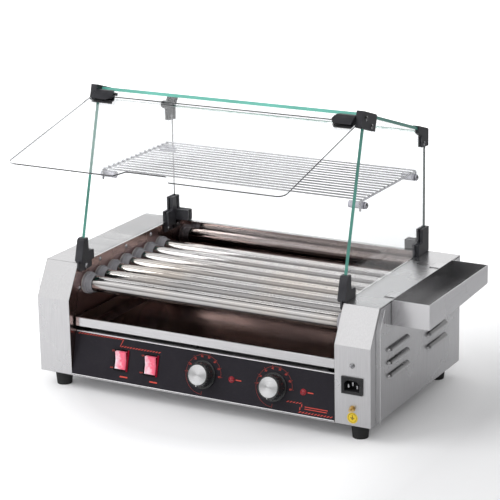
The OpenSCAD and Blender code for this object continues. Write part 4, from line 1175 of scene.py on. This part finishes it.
class GRILL_OT_stage(bpy.types.Operator):
    """Sets the floor, the soft lamps, the pale surroundings and the camera."""

    bl_idname = "grill.stage"
    bl_label = "Set the stage"

    def execute(self, context):
        s = context.scene.grill_stage
        self.camera(s)
        self.floor(s)
        self.surroundings()
        # Name, place, target, size and watts; the glints are mirrored in the steel
        for lamp in (("key", (-1.9, -1.6, 2.1), (0.0, 0.0, 0.15), (2.0, 2.0), 54.0),
                     ("front", (0.6, -3.0, 1.5), (0.0, 0.0, 0.2), (2.4, 1.6), 10.0),
                     ("top", (-0.3, 0.4, 2.6), (0.0, 0.0, 0.0), (2.4, 2.0), 12.0),
                     ("left_glint", (-0.2, -1.5, 2.7), (0.0, 0.0, 0.1), (0.4, 0.4), 2.5),
                     ("right_glint", (1.6, -1.4, 2.0), (0.3, 0.0, 0.1), (0.36, 0.36), 3.0)):
            self.lamp(*lamp)
        context.scene.view_settings.view_transform = "Standard"
        return {"FINISHED"}

    def lamp(self, name, place, target, size, power):
        """A rectangular lamp at a place, pointed at a target."""
        data = bpy.data.lights.new(name, "AREA")
        data.shape = "RECTANGLE"
        data.size, data.size_y = size
        data.energy = power
        lamp = bpy.data.objects.new(name, data)
        lamp.location = place
        lamp.rotation_euler = (Vector(target) - Vector(place)).to_track_quat("-Z", "Y").to_euler()
        lamp.visible_glossy = name.endswith("glint")
        bpy.context.scene.collection.objects.link(lamp)

    def camera(self, s):
        """Stands the camera at its place, looking back along its azimuth and elevation."""
        a, e, r = (math.radians(v) for v in (s.azimuth, s.elevation, s.roll))
        back = Vector((math.sin(a) * math.cos(e), -math.cos(a) * math.cos(e), math.sin(e)))
        right = (-back).cross(Vector((0, 0, 1))).normalized()
        up = right.cross(-back)
        x = right * math.cos(r) + up * math.sin(r)
        y = -right * math.sin(r) + up * math.cos(r)
        data = bpy.data.cameras.new("camera")
        data.lens = s.lens
        data.sensor_width = 36.0
        data.clip_end = 60.0
        camera = bpy.data.objects.new("camera", data)
        camera.matrix_world = Matrix.Translation(s.place) @ Matrix((x, y, back)).transposed().to_4x4()
        bpy.context.scene.collection.objects.link(camera)
        bpy.context.scene.camera = camera

    def floor(self, s):
        """A wide pale floor that keeps the grill's shadow."""
        half = 30.0
        corners = [(-half, -half, 0), (half, -half, 0), (half, half, 0), (-half, half, 0)]
        mesh = bpy.data.meshes.new("floor")
        mesh.from_pydata(corners, [], [(0, 1, 2, 3)])
        floor = bpy.data.objects.new("floor", mesh)
        bpy.context.scene.collection.objects.link(floor)
        f = Finish("pale_floor")
        pale = f.tones(f.cloud(3.0), shade(s.floor, 0.99), s.floor)
        rays = f.add("LightPath").outputs
        x = f.place("X")
        away = f.add("VectorMath", {"operation": "LENGTH"}, i0=f.coords).outputs["Value"]
        # Painted shade: to the steel's reflections the floor turns darker at its right
        darker = f.times(rays["Is Glossy Ray"], f.ramp(x, -0.2, 0.7, 0.0, 0.5))
        f.set(Base_Color=f.blend(darker, pale, (0.16, 0.16, 0.17)), Roughness=0.7, Specular_IOR_Level=0.2)
        # The floor glows to the eye, less so under the grill and at its right: a painted shadow where the
        # shadow lies
        spread = f.times(f.ramp(away, 0.26, 0.37, 0.1, 1.0), f.ramp(away, 0.4, 1.4, 0.33, 0.8))
        clear = f.math("MAXIMUM", f.ramp(x, 0.2, 0.4, 1.0, 0.15), f.ramp(away, 0.6, 1.3))
        seen = f.math("MAXIMUM", rays["Is Camera Ray"], rays["Is Transmission Ray"])
        glow = f.add("Emission", Color=WHITE, Strength=f.times(seen, f.times(spread, clear)))
        f.surface(f.add("AddShader", i0=f.shader, i1=glow))
        mesh.materials.append(f.material)

    def surroundings(self):
        """White behind the grill, a soft sky for light, and a side of it darker for the steel to show."""
        world = bpy.data.worlds.new("studio")
        world.use_nodes = True
        bpy.context.scene.world = world
        net = Net(world.node_tree)
        sky = world.node_tree.nodes["Background"]
        net.put(sky, Color=WHITE, Strength=0.5)
        way = net.add("TexCoord").outputs["Generated"]
        x, y, z = (net.part(way, axis) for axis in "XYZ")
        # What the steel mirrors: ahead of the grill a soft lamp and a bright tube, white behind it, a dark
        # beam between them, and less of it all towards the right
        lamp = net.times(net.ramp(z, 0.18, 0.42), net.ramp(z, 0.95, 0.75, 0.45, 1.0))
        tube = net.times(net.ramp(z, 0.62, 0.65), net.ramp(z, 0.73, 0.7))
        ahead = net.math("ADD", net.ramp(lamp, 0.0, 1.0, 0.42, 1.02), net.times(tube, 0.7))
        around = net.add("Mix", {"data_type": "FLOAT"}, i0=net.ramp(y, -0.15, 0.25), i2=ahead, i3=1.0)
        beam = net.times(net.ramp(y, -0.12, -0.04), net.ramp(y, 0.5, 0.42))
        around = net.times(around, net.ramp(beam, 0.0, 1.0, 1.0, 0.02))
        around = net.times(around, net.ramp(x, -0.3, 0.7, 1.0, 0.4))
        mirrored = net.add("Background", Color=WHITE, Strength=around)
        rays = net.add("LightPath").outputs
        lit = net.add("MixShader", i0=rays["Is Glossy Ray"], i1=sky, i2=mirrored)
        seen = net.math("MAXIMUM", rays["Is Camera Ray"], rays["Is Transmission Ray"])
        shown = net.add("Background", Color=WHITE, Strength=1.0)
        net.put(world.node_tree.nodes["World Output"],
                Surface=net.add("MixShader", i0=seen, i1=lit, i2=shown))


STEPS = (GRILL_OT_stage, GRILL_OT_body, GRILL_OT_rollers, GRILL_OT_drive, GRILL_OT_hood_fittings,
         GRILL_OT_glass, GRILL_OT_door, GRILL_OT_shelf, GRILL_OT_controls, GRILL_OT_marks,
         GRILL_OT_earth_tag)


class GRILL_PT_panel(bpy.types.Panel):
    """Lists the steps that dress the grill."""

    bl_label = "Roller grill"
    bl_idname = "GRILL_PT_panel"
    bl_space_type = "VIEW_3D"
    bl_region_type = "UI"
    bl_category = "Roller grill"

    def draw(self, context):
        for name in SETTINGS:
            group_box = self.layout.box()
            group_box.label(text=name.replace("grill_", "").title())
            settings = getattr(context.scene, name)
            for key in settings.__annotations__:
                group_box.prop(settings, key)
        for step in STEPS:
            self.layout.operator(step.bl_idname)


def register():
    for name, kind in SETTINGS.items():
        bpy.utils.register_class(kind)
        setattr(bpy.types.Scene, name, PointerProperty(type=kind))
    for kind in (*STEPS, GRILL_PT_panel):
        bpy.utils.register_class(kind)


def unregister():
    for kind in reversed((*STEPS, GRILL_PT_panel)):
        bpy.utils.unregister_class(kind)
    for name, kind in reversed(SETTINGS.items()):
        delattr(bpy.types.Scene, name)
        bpy.utils.unregister_class(kind)


def main():
    register()
    for step in STEPS:
        area, name = step.bl_idname.split(".")
        getattr(getattr(bpy.ops, area), name)()


if __name__ == "__main__":
    main()
